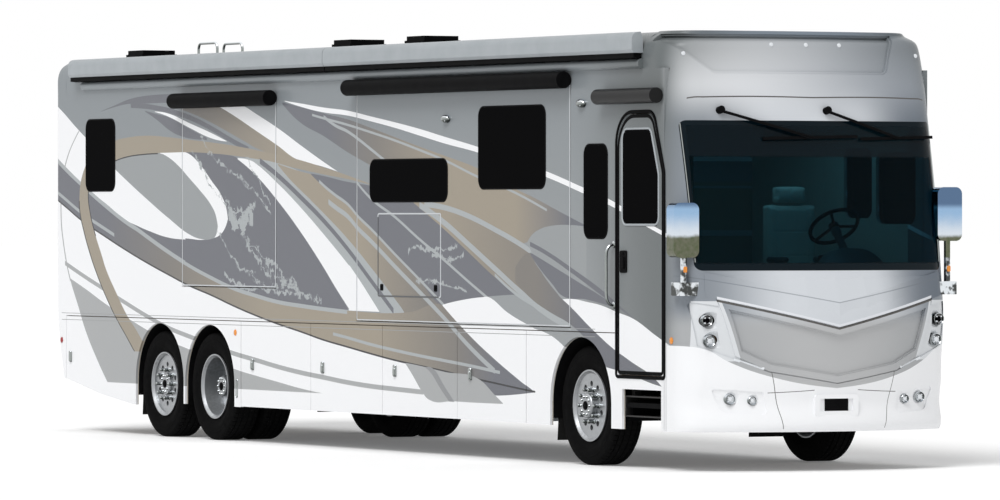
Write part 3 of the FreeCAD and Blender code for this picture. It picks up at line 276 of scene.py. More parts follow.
def make_livery():
    p = Livery("livery")
    base = p.mix(p.span(p.z, 1.2, 3.6), SILVER, srgb(133, 139, 143))
    p.over(None, p.mix(p.span(p.x, 4.3, 6.1), base, srgb(106, 111, 112)))

    # the white field at the tail, and the dark band that crosses it
    white_top = [-6.9, 3.33, -6.6, 3.205, -6.25, 3.04, -6, 2.93, -5.6, 2.76, -5.27, 2.61, -5, 2.5,
        -4.5, 2.31, -4, 2.13, -3.5, 1.97, -3.25, 1.9]
    shadow = [-6.9, 2.375, -6.5, 2.24, -6.12, 2.11, -5.5, 1.94, -5, 1.81, -4.5, 1.69, -4, 1.58, -3.5, 1.475,
        -3, 1.39, -2.5, 1.295, -2, 1.21, -1.5, 1.135, -1, 1.07, -0.5, 1, 0, 0.945, 0.5, 0.89, 1, 0.84,
        1.5, 0.8, 2, 0.76, 2.5, 0.715, 3, 0.675, 3.5, 0.635, 3.78, 0.615]
    ground = [-6.9, 0.2, 3.8, 0.2]
    p.band(white_top, [-6.9, 0.2, -3.25, 0.2], WHITE)
    p.band(shadow, ground, WHITE)

    # thin oval line and the grey wedge that grows from it
    oval = [0.5, -5.46, 0.75, -5.75, 1, -6, 1.25, -6.19, 1.53, -6.4, 1.85, -6.55, 2.15, -6.62, 2.5, -6.58,
        2.75, -6.45, 3, -6.17]
    low_x, high_x = -7.0, 3.0
    oval_x = p.curve(oval, along=p.z, low=low_x, high=high_x)
    wedge = [-6.45, 1.54, -6, 1.42, -5.5, 1.275, -4.87, 1.12, -4.2, 0.97, -3.5, 0.86, -2.45, 0.69, -2, 0.64,
        -1.5, 0.59, -1, 0.54, -0.45, 0.5]
    in_wedge = p.times(p.below(p.z, p.curve(wedge)), p.above(p.x, oval_x))
    in_wedge = p.times(in_wedge, p.inside(-6.5, -0.45, p.x))
    p.over(p.times(in_wedge, p.above(p.z, 0.505)), GREY)
    ring = p.near(p.x, oval_x, 0.012)
    p.over(p.times(ring, p.inside(1.5, 3.0, p.z)), GREY)
    thin = [-6.52, 1.7, -6, 1.56, -5.5, 1.435, -5, 1.31, -4.5, 1.19, -4, 1.085, -3.45, 1, -2.55, 0.87,
        -2, 0.81, -1.5, 0.755, -1, 0.71, -0.5, 0.675, 0, 0.64, 0.5, 0.615, 1, 0.6, 1.58, 0.585]
    p.line(shift(thin, -0.022), 0.044, GREY)

    # main sweep: dark band above, ribbon below it
    crest = [-6.9, 2.815, -6.5, 2.64, -6.14, 2.495, -5.93, 2.41, -5.5, 2.27, -5, 2.105, -4.75, 2.055,
        -4.5, 2.01, -4, 1.94, -3.5, 1.92, -3.2, 1.915]
    vein = [-6.9, 2.79, -6.5, 2.615, -6.14, 2.475, -5.5, 2.245, -5, 2.085, -4.75, 2.02, -4.5, 1.945,
        -4, 1.8, -3.5, 1.67, -3, 1.56, -2.5, 1.465, -2, 1.4, -1.5, 1.345, -1, 1.315, -0.5, 1.29,
        0.15, 1.265]
    p.band(crest, shadow, DARK, end=-3.2)
    ribbon = p.fade([(-5.5, DARK), (-3.9, BROWN), (-1.8, TAN), (0.6, TAN), (2.2, BROWN), (3.0, DARK)])
    p.band(vein, shadow, ribbon, start=-6.9, end=0.1)
    p.line(vein, 0.045, LINE)
    p.line(shift(shadow, 0.075), 0.035, LINE, start=-6.9, end=-5.3)

    # dark field with its broken line work
    field_top = [-3.6, 2.8, -3.25, 2.765, -2.75, 2.74, -2.4, 2.7, -2, 2.54, -1.5, 2.29, -1, 2, -0.5, 1.67,
        -0.25, 1.49, 0.02, 1.3]
    field_low = [-3.6, 1.69, -3, 1.56, -2.5, 1.465, -2, 1.4, -1.5, 1.345, -1, 1.315, -0.5, 1.29, 0.02, 1.27]
    p.band(field_top, field_low, DARK)
    p.line(vein, 0.03, LINE, start=-3.7)
    # white crescent and the silver eye inside the loop
    crescent_top = [-4.2, 2.775, -4, 2.775, -3.75, 2.775, -3.5, 2.745, -3.25, 2.64, -3, 2.49, -2.75, 2.33,
        -2.65, 2.21, -2.62, 2.12]
    crescent_low = [-4.2, 1.975, -4, 1.955, -3.5, 1.93, -3.2, 1.92, -2.93, 1.94, -2.8, 1.97, -2.68, 2.04,
        -2.62, 2.12]
    p.band(crescent_top, crescent_low, WHITE)
    eye_top = [-5.3, 2.72, -5, 2.74, -4.6, 2.76, -4.2, 2.76, -4, 2.72, -3.75, 2.63, -3.5, 2.51, -3.25, 2.39,
        -3, 2.25, -2.9, 2.16, -2.85, 2.05]
    eye_low = [-5.3, 2.62, -5, 2.5, -4.5, 2.31, -4, 2.13, -3.5, 1.97, -3.2, 1.925, -3, 1.93, -2.9, 1.96,
        -2.85, 2.05]
    p.band(eye_top, eye_low, SILVER)

    # stripes along the top
    p.band([-5.62, 3.19, -5.25, 3.25, -5, 3.29, -4.75, 3.315, -4.4, 3.33, -3.9, 3.33, -1.5, 3.2],
        [-5.62, 3.185, -5.25, 3.23, -5, 3.25, -4.5, 3.25, -4, 3.25, -3.5, 3.24, -1.5, 3.15], DARK, end=-3.5)
    p.line([-4.9, 3.237, -4.5, 3.22, -4.25, 3.2, -4, 3.175, -3.75, 3.14, -3.5, 3.1, -3, 2.99, -2.5, 2.86,
        -2.15, 2.78], 0.05, DARK)
    p.band([-3.7, 3.3, -2.8, 3.19, -2.5, 3.11, -2, 2.96, -1.5, 2.81, -1.1, 2.68],
        [-3.7, 3.18, -3.25, 3.1, -2.75, 2.985, -2.25, 2.86, -1.9, 2.775, -1.1, 2.675],
        p.fade([(-3.2, BROWN), (-1.3, TAN)]))
    p.band([-4.55, 3.18, -4.25, 3.14, -4, 3.11, -3.5, 2.99, -3.1, 2.9], [-4.55, 3.17, -4.25, 3.08, -4, 2.99,
        -3.75, 2.93, -3.1, 2.88], DARK)
    p.band([-4.32, 3.17, -4, 3.145, -3.5, 3.045, -3, 2.945, -2.65, 2.865], [-4.32, 3.165, -4, 3.115,
        -3.5, 3, -3, 2.895, -2.65, 2.86], WHITE)
    p.band([-2.8, 3.26, -2.25, 3.19, -2, 3.12, -1.5, 2.975, -1, 2.81, -0.5, 2.65, -0.2, 2.56],
        [-2.8, 3.19, -2.5, 3.11, -2, 2.96, -1.5, 2.81, -1.13, 2.69, -0.5, 2.605, -0.2, 2.56], WHITE)

    # fan of stripes over the middle: upper ribbon
    upper = [-1.4, 3.215, -1, 3.165, -0.5, 3.1, 0, 3.04, 0.5, 2.955, 1, 2.865, 1.5, 2.775, 2, 2.69,
        2.65, 2.575, 3.3, 2.41, 3.75, 2.31, 4.25, 2.185, 4.72, 2.07]
    upper_low = [-1.4, 3.2, -1, 3.02, -0.5, 2.89, 0, 2.74, 0.5, 2.61, 1, 2.47, 1.5, 2.31, 2, 2.23,
        2.5, 2.15, 3, 2.05, 3.5, 1.91, 3.85, 1.98, 4.25, 2.04, 4.72, 2.06]
    fan = p.fade([(-0.4, DARK), (0.6, BROWN), (1.9, TAN), (3.4, TAN), (4.4, DARK)])
    p.band(upper, upper_low, fan)
    p.line([-0.75, 3.09, -0.5, 3.055, 0, 2.99, 0.5, 2.915, 1, 2.835, 1.5, 2.745, 2, 2.65, 2.7, 2.49,
        3.3, 2.375, 4, 2.2], 0.022, LINE)
    p.line([-0.5, 3.07, -0.25, 2.985, 0, 2.93, 0.25, 2.85, 0.5, 2.76, 0.8, 2.65], 0.03, LINE)
    p.band([-1.35, 3.23, -1, 3.2, -0.5, 3.155, 0, 3.12, 0.5, 3.06, 1, 3, 1.5, 2.935, 2, 2.86, 2.65, 2.765,
        3.98, 2.54, 4.68, 2.395, 5.13, 2.3, 5.85, 2.095, 6.2, 2, 6.4, 1.94], [-1.35, 3.225, -1, 3.17,
        -0.5, 3.11, 0, 3.075, 0.5, 3.015, 1, 2.95, 1.5, 2.875, 2, 2.8, 2.65, 2.715, 3.98, 2.49, 4.68, 2.345,
        5.13, 2.25, 5.85, 2.055, 6.2, 1.965, 6.4, 1.915], WHITE)

    # tan arc over the loop, and the thin tan that runs on from it
    p.band([-6.05, 2.6, -5.95, 2.7, -5.75, 2.8, -5.27, 2.895, -5, 2.92, -4.5, 2.935, -4, 2.915, -3.5, 2.885,
        -3, 2.855, -2.5, 2.82, -2, 2.775, -1.5, 2.725, -1, 2.67, -0.5, 2.6, 0, 2.525, 0.5, 2.44],
        [-6.05, 2.55, -5.95, 2.38, -5.75, 2.56, -5.27, 2.7, -5, 2.735, -4.5, 2.76, -4, 2.765, -3.5, 2.765,
        -3, 2.75, -2.5, 2.725, -2, 2.69, -1.5, 2.64, -1, 2.585, -0.5, 2.535, 0, 2.49, 0.5, 2.435], TAN)
    p.line([-5.3, 2.69, -5, 2.73, -4.6, 2.752, -4.25, 2.758], 0.012, INK)

    # long diagonals in the middle
    blade_low = [-0.78, 2.54, -0.5, 2.42, -0.25, 2.33, 0, 2.25, 0.25, 2.125, 0.5, 2.02, 1, 1.79, 1.5, 1.565,
        1.97, 1.35, 2.5, 1.09, 3, 0.88, 3.5, 0.69, 3.78, 0.615]
    white_low = [-2.4, 2.69, -2, 2.54, -1.5, 2.29, -1, 2, -0.5, 1.67, -0.25, 1.49, 0.05, 1.29]
    white_high = [-2.4, 2.7, -2.1, 2.675, -2, 2.65, -1.5, 2.455, -1, 2.23, -0.5, 1.98, 0, 1.715, 0.25, 1.57,
        0.5, 1.4, 0.68, 1.275]
    p.band([-2.4, 2.705, -2, 2.69, -1.5, 2.645, -1, 2.56, -0.5, 2.4, 0, 2.2, 0.5, 1.96, 1, 1.715,
        1.25, 1.58, 1.5, 1.45], [-2.4, 2.7, -2, 2.65, -1.5, 2.455, -1, 2.23, -0.5, 1.98, 0, 1.715, 0.5, 1.4,
        0.7, 1.27, 1.5, 1.27], LINE)
    p.line([-1.9, 2.67, -1.5, 2.53, -1, 2.325, -0.5, 2.105, 0, 1.85, 0.5, 1.56, 0.97, 1.285], 0.055, DARK)
    p.band(white_high, white_low, WHITE, end=0.05)
    p.band([0.04, 1.7, 0.25, 1.57, 0.5, 1.4, 0.68, 1.275], [0.04, 1.28, 0.68, 1.275], WHITE)
    p.band(blade_low, [-1.5, 2.63, -1.25, 2.5, -1, 2.39, -0.5, 2.175, 0, 1.945, 0.5, 1.68, 1, 1.395,
        1.2, 1.27, 1.7, 0.79, 3.78, 0.61], p.fade([(0.3, TAN), (1.6, BROWN), (2.6, DARK)]), start=-0.78)
    p.band([-1.5, 2.64, -1.25, 2.6, -1, 2.565, -0.78, 2.54], [-1.5, 2.63, -1.25, 2.5, -1, 2.39, -0.78, 2.3],
        TAN)
    p.band([0, 1.28, 1.3, 1.28, 1.97, 1.35, 2.5, 1.09, 3, 0.88, 3.78, 0.615], [(a, b) for a,
        b in points_of(shadow) if a >= 0], ribbon)
    p.line([-0.3, 1.06, 0, 1.03, 0.5, 0.975, 1, 0.93, 1.5, 0.89, 2, 0.855, 2.5, 0.82, 3.1, 0.77], 0.028,
        LINE)
    p.line(shift(blade_low, -0.10), 0.05, LINE, start=-0.4, end=3.0)
    p.band([-0.78, 2.545, -0.5, 2.52, 0, 2.465, 0.5, 2.425, 1, 2.36, 1.35, 2.28, 2, 2.035, 2.5, 1.825,
        3, 1.615, 3.4, 1.465], [-0.78, 2.54, -0.5, 2.42, 0, 2.25, 0.5, 2.02, 1, 1.79, 1.5, 1.565,
        1.97, 1.35, 2.25, 1.39, 2.75, 1.43, 3.4, 1.46], DARK)
    p.line([0.2, 2.46, 0.5, 2.31, 1, 2.14, 1.5, 1.94, 2, 1.755, 2.5, 1.56, 2.9, 1.41], 0.028, LINE)
    p.line(shift(blade_low, 0.012), 0.03, LINE, start=-0.6, end=2.0)
    # stripes that carry the fan on to the entry door
    p.band([1.35, 2.285, 2, 2.235, 2.5, 2.15, 3, 2.05, 3.5, 1.91, 4, 1.76], [1.35, 2.28, 2, 2.03, 2.5, 1.82,
        3, 1.61, 3.5, 1.44, 4, 1.3], p.fade([(1.9, TAN), (4.1, BROWN)]), end=3.72)
    p.line([1.6, 2.255, 2, 2.225, 2.5, 2.145, 3, 2.03, 3.5, 1.9, 3.72, 1.83], 0.05, LINE)
    p.line([1.5, 2.25, 2, 2.09, 2.5, 1.89, 3, 1.685, 3.5, 1.48, 4, 1.3, 4.45, 1.19], 0.06, LINE)
    p.band([3.4, 1.7, 3.72, 1.82, 3.9, 1.66, 4.1, 1.53, 4.32, 1.42, 4.5, 1.34, 4.75, 1.22, 5, 1.11,
        5.25, 1.01, 5.5, 0.93, 5.75, 0.84, 6.1, 0.72], [3.4, 1.57, 3.72, 1.42, 4, 1.33, 4.45, 1.21,
        4.75, 1.08, 5.1, 0.865, 5.5, 0.81, 6.1, 0.715], p.fade([(3.8, BROWN), (4.6, DARK)]))
    p.line([3, 1.63, 3.4, 1.47, 3.75, 1.37, 4, 1.3, 4.45, 1.19], 0.03, LINE)
    leaf_top = [3.63, 1.92, 3.7, 1.975, 3.85, 2.03, 4.1, 2.065, 4.5, 2.07, 4.72, 2.06, 6.5, 2.06]
    leaf_low = [3.63, 1.91, 3.7, 1.84, 3.75, 1.77, 3.9, 1.66, 4.1, 1.54, 4.32, 1.42, 6.5, 1.42]
    p.band(leaf_top, leaf_low, SILVER, end=4.74)
    p.band([3.68, 1.925, 4, 1.845, 4.5, 1.69, 5, 1.525, 5.3, 1.405, 5.62, 1.275],
        [3.68, 1.885, 4, 1.805, 4.5, 1.645, 5, 1.475, 5.3, 1.375, 5.62, 1.27], DARK)
    p.band([3.69, 1.83, 4, 1.745, 4.5, 1.605, 4.75, 1.535, 5, 1.465, 5.35, 1.36],
        [3.69, 1.81, 3.9, 1.67, 4.1, 1.56, 4.27, 1.465, 4.75, 1.43, 5.35, 1.355], DARK)

    # white lower part from the middle to the nose
    p.band([1.97, 1.355, 2.25, 1.39, 2.75, 1.43, 2.88, 1.432, 3.25, 1.3, 3.75, 1.17, 4.3, 1.03],
        [1.97, 1.345, 2.5, 1.09, 3, 0.885, 3.5, 0.7, 3.78, 0.6, 4.3, 0.2], WHITE)
    p.band([3.78, 1.165, 4.3, 1.03, 4.5, 0.9, 5.1, 0.855, 5.5, 0.805, 6.09, 0.712, 6.3, 0.7],
        [3.78, 0.2, 6.3, 0.2], WHITE)
    p.band([4.3, 1.428, 4.5, 1.432, 4.75, 1.41, 5, 1.385, 5.3, 1.33, 5.62, 1.27, 6, 1.14, 6.25, 1.06,
        6.5, 0.99, 6.9, 0.95], [4.3, 1.425, 4.5, 1.34, 4.75, 1.22, 5, 1.11, 5.25, 1.01, 5.5, 0.93,
        6.09, 0.72, 6.5, 0.4, 6.9, 0.2], WHITE)
    p.line(shadow, 0.016, INK)

    # below the rear part of the shadow line: two grey blades on the luggage doors
    p.band([1.22, 0.82, 1.5, 0.8, 2, 0.755, 2.7, 0.7, 3, 0.57, 3.16, 0.5], [1.22, 0.81, 1.35, 0.72,
        1.55, 0.57, 1.67, 0.505, 2.2, 0.495, 3.16, 0.495], GREY)
    p.band([1.62, 0.79, 1.8, 0.77, 2, 0.63, 2.2, 0.495], [1.62, 0.785, 1.75, 0.73, 1.9, 0.62, 2.1, 0.49],
        srgb(140, 142, 144), end=2.2)

    # tan loop, drawn over all the rear stripes
    outer = [0.82, -4.81, 0.96, -5, 1.14, -5.25, 1.35, -5.5, 1.6, -5.75, 1.78, -5.9, 2, -6.05, 2.2, -6.15,
        2.35, -6.158, 2.5, -6.12, 2.66, -6]
    inner = [0.82, -4.5, 1, -4.72, 1.18, -5, 1.39, -5.25, 1.62, -5.5, 1.75, -5.6, 2, -5.79, 2.2, -5.9,
        2.35, -5.94, 2.5, -5.9, 2.66, -5.8]
    outer_x = p.curve(outer, along=p.z, low=low_x, high=high_x)
    inner_x = p.curve(inner, along=p.z, low=low_x, high=high_x)
    loop = p.times(p.above(p.x, outer_x), p.below(p.x, inner_x))
    p.over(p.times(loop, p.inside(0.82, 2.66, p.z)), TAN)
    for edge, reach in ((outer_x, (0.82, 2.3)), (inner_x, (1.95, 2.42))):
        rim = p.near(p.x, edge, 0.01)
        p.over(p.times(rim, p.inside(*reach, p.z)), INK)
    cracks = (
        ([-3.45, 2.78, -3.15, 2.56, -2.96, 2.4, -2.7, 2.27, -2.55, 2.12], 0.01, 0.16),
        ([-3.25, 2.9, -2.89, 2.68, -2.44, 2.55, -2.14, 2.41, -1.84, 2.3, -1.65, 2.16], 0.01, 0.18),
        ([-2.25, 2.72, -1.99, 2.54, -1.66, 2.24], 0.008, 0.12),
        ([-2.68, 2.32, -2.44, 2.13, -2.14, 1.9, -1.54, 1.64, -1.05, 1.48], 0.014, 0.22),
        ([-2.62, 2.22, -2.4, 2.17, -2.15, 2.22, -2, 2.28], 0.022, 0.16),
        ([-2.6, 2.14, -2.4, 2.08, -2.2, 2.1, -2.05, 2.14], 0.045, 0.1),
        ([-2.86, 2.02, -2.55, 1.76, -2.14, 1.6, -1.6, 1.5], 0.01, 0.18),
        ([-2.7, 1.6, -2.36, 1.49, -1.76, 1.47, -1, 1.4], 0.012, 0.12),
        ([-2.3, 1.98, -1.95, 1.72, -1.3, 1.5, -0.55, 1.36], 0.012, 0.2),
        ([1.27, 1.83, 1.5, 1.87, 1.73, 1.85, 2.26, 1.88], 0.011, 0.1),
        ([1.75, 1.8, 1.93, 1.78, 2.12, 1.75, 2.39, 1.81], 0.011, 0.12),
        ([1.43, 1.575, 1.93, 1.545, 2.45, 1.485], 0.009, 0.08),
    )
    wander = p.noise(5.5, 6.0, 0.72, 0.8, stretch=(1.0, 0.0, 1.0))
    swell = p.span(p.noise(9.0, 3.0, 0.6, stretch=(1.0, 0.0, 1.0)), 0.35, 0.65, 0.15, 2.2)
    for points, width, reach in cracks:
        path = p.scaled(p.minus(wander, 0.5), reach * 2, p.curve(points))
        gap = p.gap(p.z, path)
        mark = p.below(gap, p.times(swell, width))
        p.over(p.times(mark, p.inside(points[0], points[-2], p.x)), LINE)
    for height in (1.178, 1.112):
        line_mask = p.near(p.z, height, 0.003)
        p.over(p.times(line_mask, p.inside(-6.6, 4.9, p.x)), srgb(150, 152, 153))
    side = p.paint

    # caps: silver brow and nose with painted light: a painted reflection, lighter in the middle and darker to
    # the sides; below the hood line a flatter grey, a little darker to the sides; painted shade and highlight
    # on the upper parts; white below
    hood_edge = p.minus(p.z, p.scaled(p.side, 0.2286, 1.206))
    # painted reflection: lighter in the middle of the nose, darker toward its sides, along a wavy edge
    edge = p.scaled(p.noise(0.6, 1.0), 0.3, p.side)
    painted_light_silver = p.mix(p.span(edge, 0.55, 1.25), srgb(206, 210, 215), srgb(134, 140, 147))
    chin = p.mix(p.span(p.side, 0.2, 1.0), srgb(182, 183, 184), srgb(168, 170, 172))
    # painted shade on the upper nose's left side (y above zero), above the hood's V edge
    hood_side_shade = p.times(p.span(p.y, 0.35, 1.15), p.above(hood_edge, 0.0))
    painted_light_silver = p.mix(hood_side_shade, painted_light_silver, srgb(104, 112, 122))
    painted_light_silver = p.mix(p.times(p.span(p.z, 1.4, 1.2), p.below(hood_edge, 0.0)), painted_light_silver, chin)
    # painted highlight on the brow's right side (y below zero), fading to painted shade on its left side
    brow = p.mix(p.span(p.y, -1.2, 1.25), srgb(228, 230, 233), srgb(146, 152, 160))
    painted_light_silver = p.mix(p.span(p.z, 2.9, 3.3), painted_light_silver, brow)
    # painted sky reflection: a bluish band along the top of the cap
    painted_light_silver = p.mix(p.span(p.z, 3.63, 3.70), painted_light_silver, srgb(140, 154, 172))
    nose = p.mix(p.span(p.x, 6.05, 6.45), side, painted_light_silver)
    edge = p.curve([0, 0.7, 0.6, 0.8, 0.95, 0.93, 1.1, 1.02, 1.3, 1.06], along=p.side)
    white_nose = p.times(p.below(p.z, edge), p.above(p.x, 6.2))
    bezel = p.above(p.side, p.scaled(p.z, 0.33, 0.535))
    bezel = p.times(bezel, p.times(p.inside(0.93, 1.435, p.z), p.below(p.side, 1.225)))
    ahead = p.above(p.x, 6.3)
    bezel = p.times(bezel, ahead)
    nose = p.mix(bezel, nose, srgb(214, 217, 220))
    nose = p.mix(white_nose, nose, WHITE)
    brow_line = p.curve([0, 3.152, 1, 3.152, 1.13, 3.145, 1.2, 3.12, 1.24, 3.07, 1.255, 2.98], along=p.side)
    line_mask = p.near(p.z, brow_line, 0.0055)
    bumper_line = p.curve([0, 0.7, 0.62, 0.664, 1.24, 0.66], along=p.side)
    low_seam = p.near(p.z, bumper_line, 0.003)
    lean = p.minus(p.side, p.scaled(p.z, 0.22, 0.41))
    lean = p.times(p.below(p.math("ABSOLUTE", lean), 0.003), p.inside(0.36, 0.84, p.z))
    low_seam = p.times(low_seam, p.inside(0.21, 0.62, p.side))
    # painted shadow just under the hood's V edge
    hood_edge_shadow = p.times(p.inside(-0.014, 0.004, hood_edge), p.below(p.side, 1.04))
    # painted highlight on the bevel just above the hood's V edge
    bevel = p.times(p.inside(0.004, 0.03, hood_edge), p.below(p.side, 1.04))
    # painted shadow line along the crease in the hood
    crease_shadow = p.inside(-0.005, 0.004, p.minus(p.z, p.scaled(p.side, 0.175, 1.42)))
    # one mask for the seam lines and the painted shadow under the hood's V edge
    line_mask = p.most(line_mask, low_seam, p.most(lean, hood_edge_shadow))
    # the painted bevel highlight
    nose = p.mix(p.times(bevel, ahead), nose, srgb(222, 225, 230))
    # the painted crease shadow
    nose = p.mix(p.times(crease_shadow, p.times(ahead, 0.55)), nose, srgb(112, 118, 126))
    # the seam lines and the painted hood-edge shadow, drawn dark
    nose = p.mix(p.times(line_mask, ahead), nose, srgb(92, 90, 88))
    tail = p.mix(p.span(p.x, -6.72, -6.74), side, p.mix(p.span(p.z, 1.9, 1.92), WHITE, SILVER))
    skin = p.mix(p.above(p.x, 5.9), tail, nose)

    # the inside of the panels
    normal = p.node("VectorMath", operation="DOT_PRODUCT")
    axis = p.node("CombineXYZ")
    p.links.new(p.minus(p.x, p.span(p.x, -6.3, 5.6, -6.3, 5.6, smooth=False)), axis.inputs[0])
    p.links.new(p.y, axis.inputs[1])
    p.links.new(p.minus(p.z, p.span(p.z, 0.5, 3.3, 0.5, 3.3, smooth=False)), axis.inputs[2])
    p.links.new(p.coord("Normal"), normal.inputs[0])
    p.links.new(axis.outputs[0], normal.inputs[1])
    deep = p.times(p.below(p.side, 1.262), p.inside(-6.7, 5.9, p.x))
    deep = p.times(deep, p.below(p.z, 3.68))
    outward = p.most(p.above(normal.outputs["Value"], 0.0), p.minus(1.0, deep))
    # the outer sides of the slide rooms are painted too
    for node in ("slide_right_front", "slide_right_rear", "slide_left"):
        room = [v.co for v in NODES[node].data.vertices if abs(v.co.y) < 1.2]
        for axis_value, ends in ((p.x, [v.x for v in room]), (p.z, [v.z for v in room])):
            for end in (min(ends), max(ends)):
                outward = p.most(outward, p.inside(end - 0.003, end + 0.003, axis_value))
    lining = p.mix(p.noise(6.0, 4.0), srgb(205, 198, 186), srgb(188, 181, 170))
    p.colour(p.mix(outward, lining, skin))

    flake = p.noise(900.0, 1.0)
    orange_peel = p.noise(60.0, 2.0)
    p.rough(p.span(flake, 0.3, 0.7, 0.24, 0.34))
    p.bump(orange_peel, 0.05, 0.0004)
    return p.mat


LIVERY = make_livery()


def plain_looks():
    looks = {"livery": LIVERY}

    m = Look("dark_glass", srgb(3, 3, 4), 0.04, Specular_IOR_Level=0.0, Coat_Weight=0.04)
    m.rough(m.span(m.noise(8.0, 3.0), 0.3, 0.7, 0.03, 0.06))
    looks["dark_glass"] = m.mat

    m = Look("chrome", srgb(190, 195, 198), 0.1, 1.0)
    # painted reflection: faces turned down show a dark ground, faces turned up a bright sky
    tilt = m.split(m.coord("Normal"))[2]
    shade = m.mix(m.span(tilt, -0.55, 0.0), srgb(62, 66, 64), srgb(150, 155, 153))
    m.colour(m.mix(m.span(tilt, 0.05, 0.6), shade, srgb(236, 240, 244)))
    m.rough(m.span(m.noise(30.0, 4.0), 0.3, 0.7, 0.05, 0.12))
    looks["chrome"] = m.mat

    m = Look("mirror_chrome", srgb(225, 230, 236), 0.06, 1.0)
    x, y, z = m.split(m.coord())
    # painted reflection of a landscape on the mirror heads: green-grey ground below a wavy horizon, pale to
    # blue sky above it, a deeper blue along the top
    tilt = m.split(m.coord("Normal"))[2]
    wave = m.scaled(m.noise(7.0, 3.0), 0.06, z)
    ground = m.mix(m.noise(24.0, 4.0), srgb(66, 84, 46), srgb(126, 122, 112))
    sky_reflection = m.mix(m.span(wave, 2.02, 2.22), srgb(214, 222, 230), srgb(150, 182, 214))
    head = m.mix(m.span(wave, 1.99, 2.03), ground, sky_reflection)
    head = m.mix(m.span(z, 2.2, 2.26), head, srgb(92, 116, 146))
    # below the heads, painted reflections in dark and bright patches
    m.colour(m.mix(m.span(z, 1.79, 1.8), m.mix(m.span(m.noise(16.0, 2.0), 0.42, 0.58), srgb(74, 76, 75),
        srgb(222, 227, 231)), head))
    m.rough(m.span(m.noise(30.0, 4.0), 0.3, 0.7, 0.04, 0.1))
    looks["mirror_chrome"] = m.mat

    m = Look("alloy", srgb(200, 203, 206), 0.3, 0.75)
    brushed = m.noise(40.0, 3.0)
    # painted shade on faces turned down and painted highlight on faces turned up; the brushed grain mixes in
    tilt = m.split(m.coord("Normal"))[2]
    shade = m.mix(m.span(tilt, -0.7, 0.7), srgb(92, 93, 94), srgb(214, 217, 220))
    m.colour(m.mix(brushed, shade, srgb(150, 153, 156)))
    m.rough(m.span(brushed, 0.3, 0.7, 0.28, 0.36))
    m.bump(m.noise(260.0, 2.0), 0.08, 0.0004)
    looks["alloy"] = m.mat

    # name, (colour, rough, metal), extra, colour noise, its two colours, bump noise, (strength, height)
    table = (
        ("tyre", ((16, 16, 17), 0.72, 0.0), {"Specular_IOR_Level": 0.01},
         (22.0, 5.0, 0.6), (10, 10, 11), (25, 25, 25), (420.0, 3.0), (0.2, 0.0006)),
        ("black_plastic", ((14, 14, 15), 0.42, 0.0), {"Specular_IOR_Level": 0.01},
         (9.0, 4.0), (10, 10, 11), (22, 22, 23), (700.0, 2.0), (0.12, 0.0005)),
        ("steel_black", ((26, 26, 27), 0.55, 0.3), {},
         (7.0, 6.0, 0.65), (20, 20, 21), (46, 44, 42), (180.0, 4.0), (0.2, 0.001)),
        ("cast", ((62, 62, 63), 0.6, 0.5), {},
         (11.0, 6.0, 0.7), (44, 43, 43), (78, 76, 74), (140.0, 5.0), (0.35, 0.0015)),
        ("rubber", ((20, 20, 20), 0.8, 0.0), {"Specular_IOR_Level": 0.15},
         (30.0, 4.0), (15, 15, 15), (30, 30, 29), (300.0, 3.0), (0.3, 0.0008)),
        ("white_trim", ((196, 199, 202), 0.4, 0.0), {"Specular_IOR_Level": 0.3},
         (7.0, 4.0), (188, 192, 195), (206, 209, 212), None, None),
        ("trim", ((70, 68, 66), 0.55, 0.0), {},
         (12.0, 5.0), (60, 58, 57), (84, 81, 78), (520.0, 3.0), (0.25, 0.0006)),
        ("seat_cover", ((222, 214, 200), 0.55, 0.0), {"Sheen_Weight": 0.2},
         (14.0, 5.0), (214, 205, 190), (230, 223, 210), (420.0, 4.0, 0.7), (0.3, 0.0008)),
    )
    for name, (colour, rough, metal), extra, mottle, dark, light, grain, relief in table:
        m = Look(name, srgb(*colour), rough, metal, **extra)
        m.colour(m.mix(m.noise(*mottle), srgb(*dark), srgb(*light)))
        if grain:
            m.bump(m.noise(*grain), *relief)
        looks[name] = m.mat

    m = Look("awning_silver", srgb(160, 166, 171), 0.4, 0.1, Specular_IOR_Level=0.2)
    z = m.split(m.coord())[2]
    cover = m.mix(m.noise(5.0, 3.0), srgb(152, 159, 163), srgb(172, 177, 181))
    # painted shade: faces turned down are drawn dark
    cover = m.mix(m.below(m.split(m.coord("Normal"))[2], -0.6), cover, srgb(46, 50, 54))
    roll = m.times(m.above(z, 3.0), m.below(z, 3.3))
    m.colour(m.mix(roll, cover, srgb(13, 13, 14)))
    m.bump(m.noise(1.0, 2.0, stretch=(1.0, 240.0, 240.0)), 0.06, 0.001)
    looks["awning_silver"] = m.mat

    m = Look("lamp_glass", srgb(225, 228, 230), 0.08, Coat_Weight=0.5)
    x, y, z = m.split(m.coord())
    dark = m.times(m.above(z, 1.19), m.below(z, 1.35))
    front = m.mix(dark, srgb(205, 209, 212), srgb(28, 28, 30))
    zone = m.mix(m.above(z, 1.16), srgb(228, 228, 226), srgb(226, 128, 26))
    zone = m.mix(m.above(z, 1.28), zone, srgb(158, 18, 20))
    ribs = m.math("PINGPONG", m.times(z, 90.0), 1.0)
    zone = m.mix(m.times(ribs, 0.35), zone, srgb(70, 10, 12))
    m.colour(m.mix(m.above(x, 0.0), zone, front))
    looks["lamp_glass"] = m.mat

    for name, colour in (("lamp_clear", srgb(222, 226, 230)), ("amber_glass", srgb(228, 138, 22)),
                         ("red_glass", srgb(150, 16, 20))):
        m = Look(name, colour, 0.1, Coat_Weight=0.5)
        m.bump(m.math("PINGPONG", m.times(m.split(m.coord())[2], 260.0), 1.0), 0.2, 0.0006)
        looks[name] = m.mat

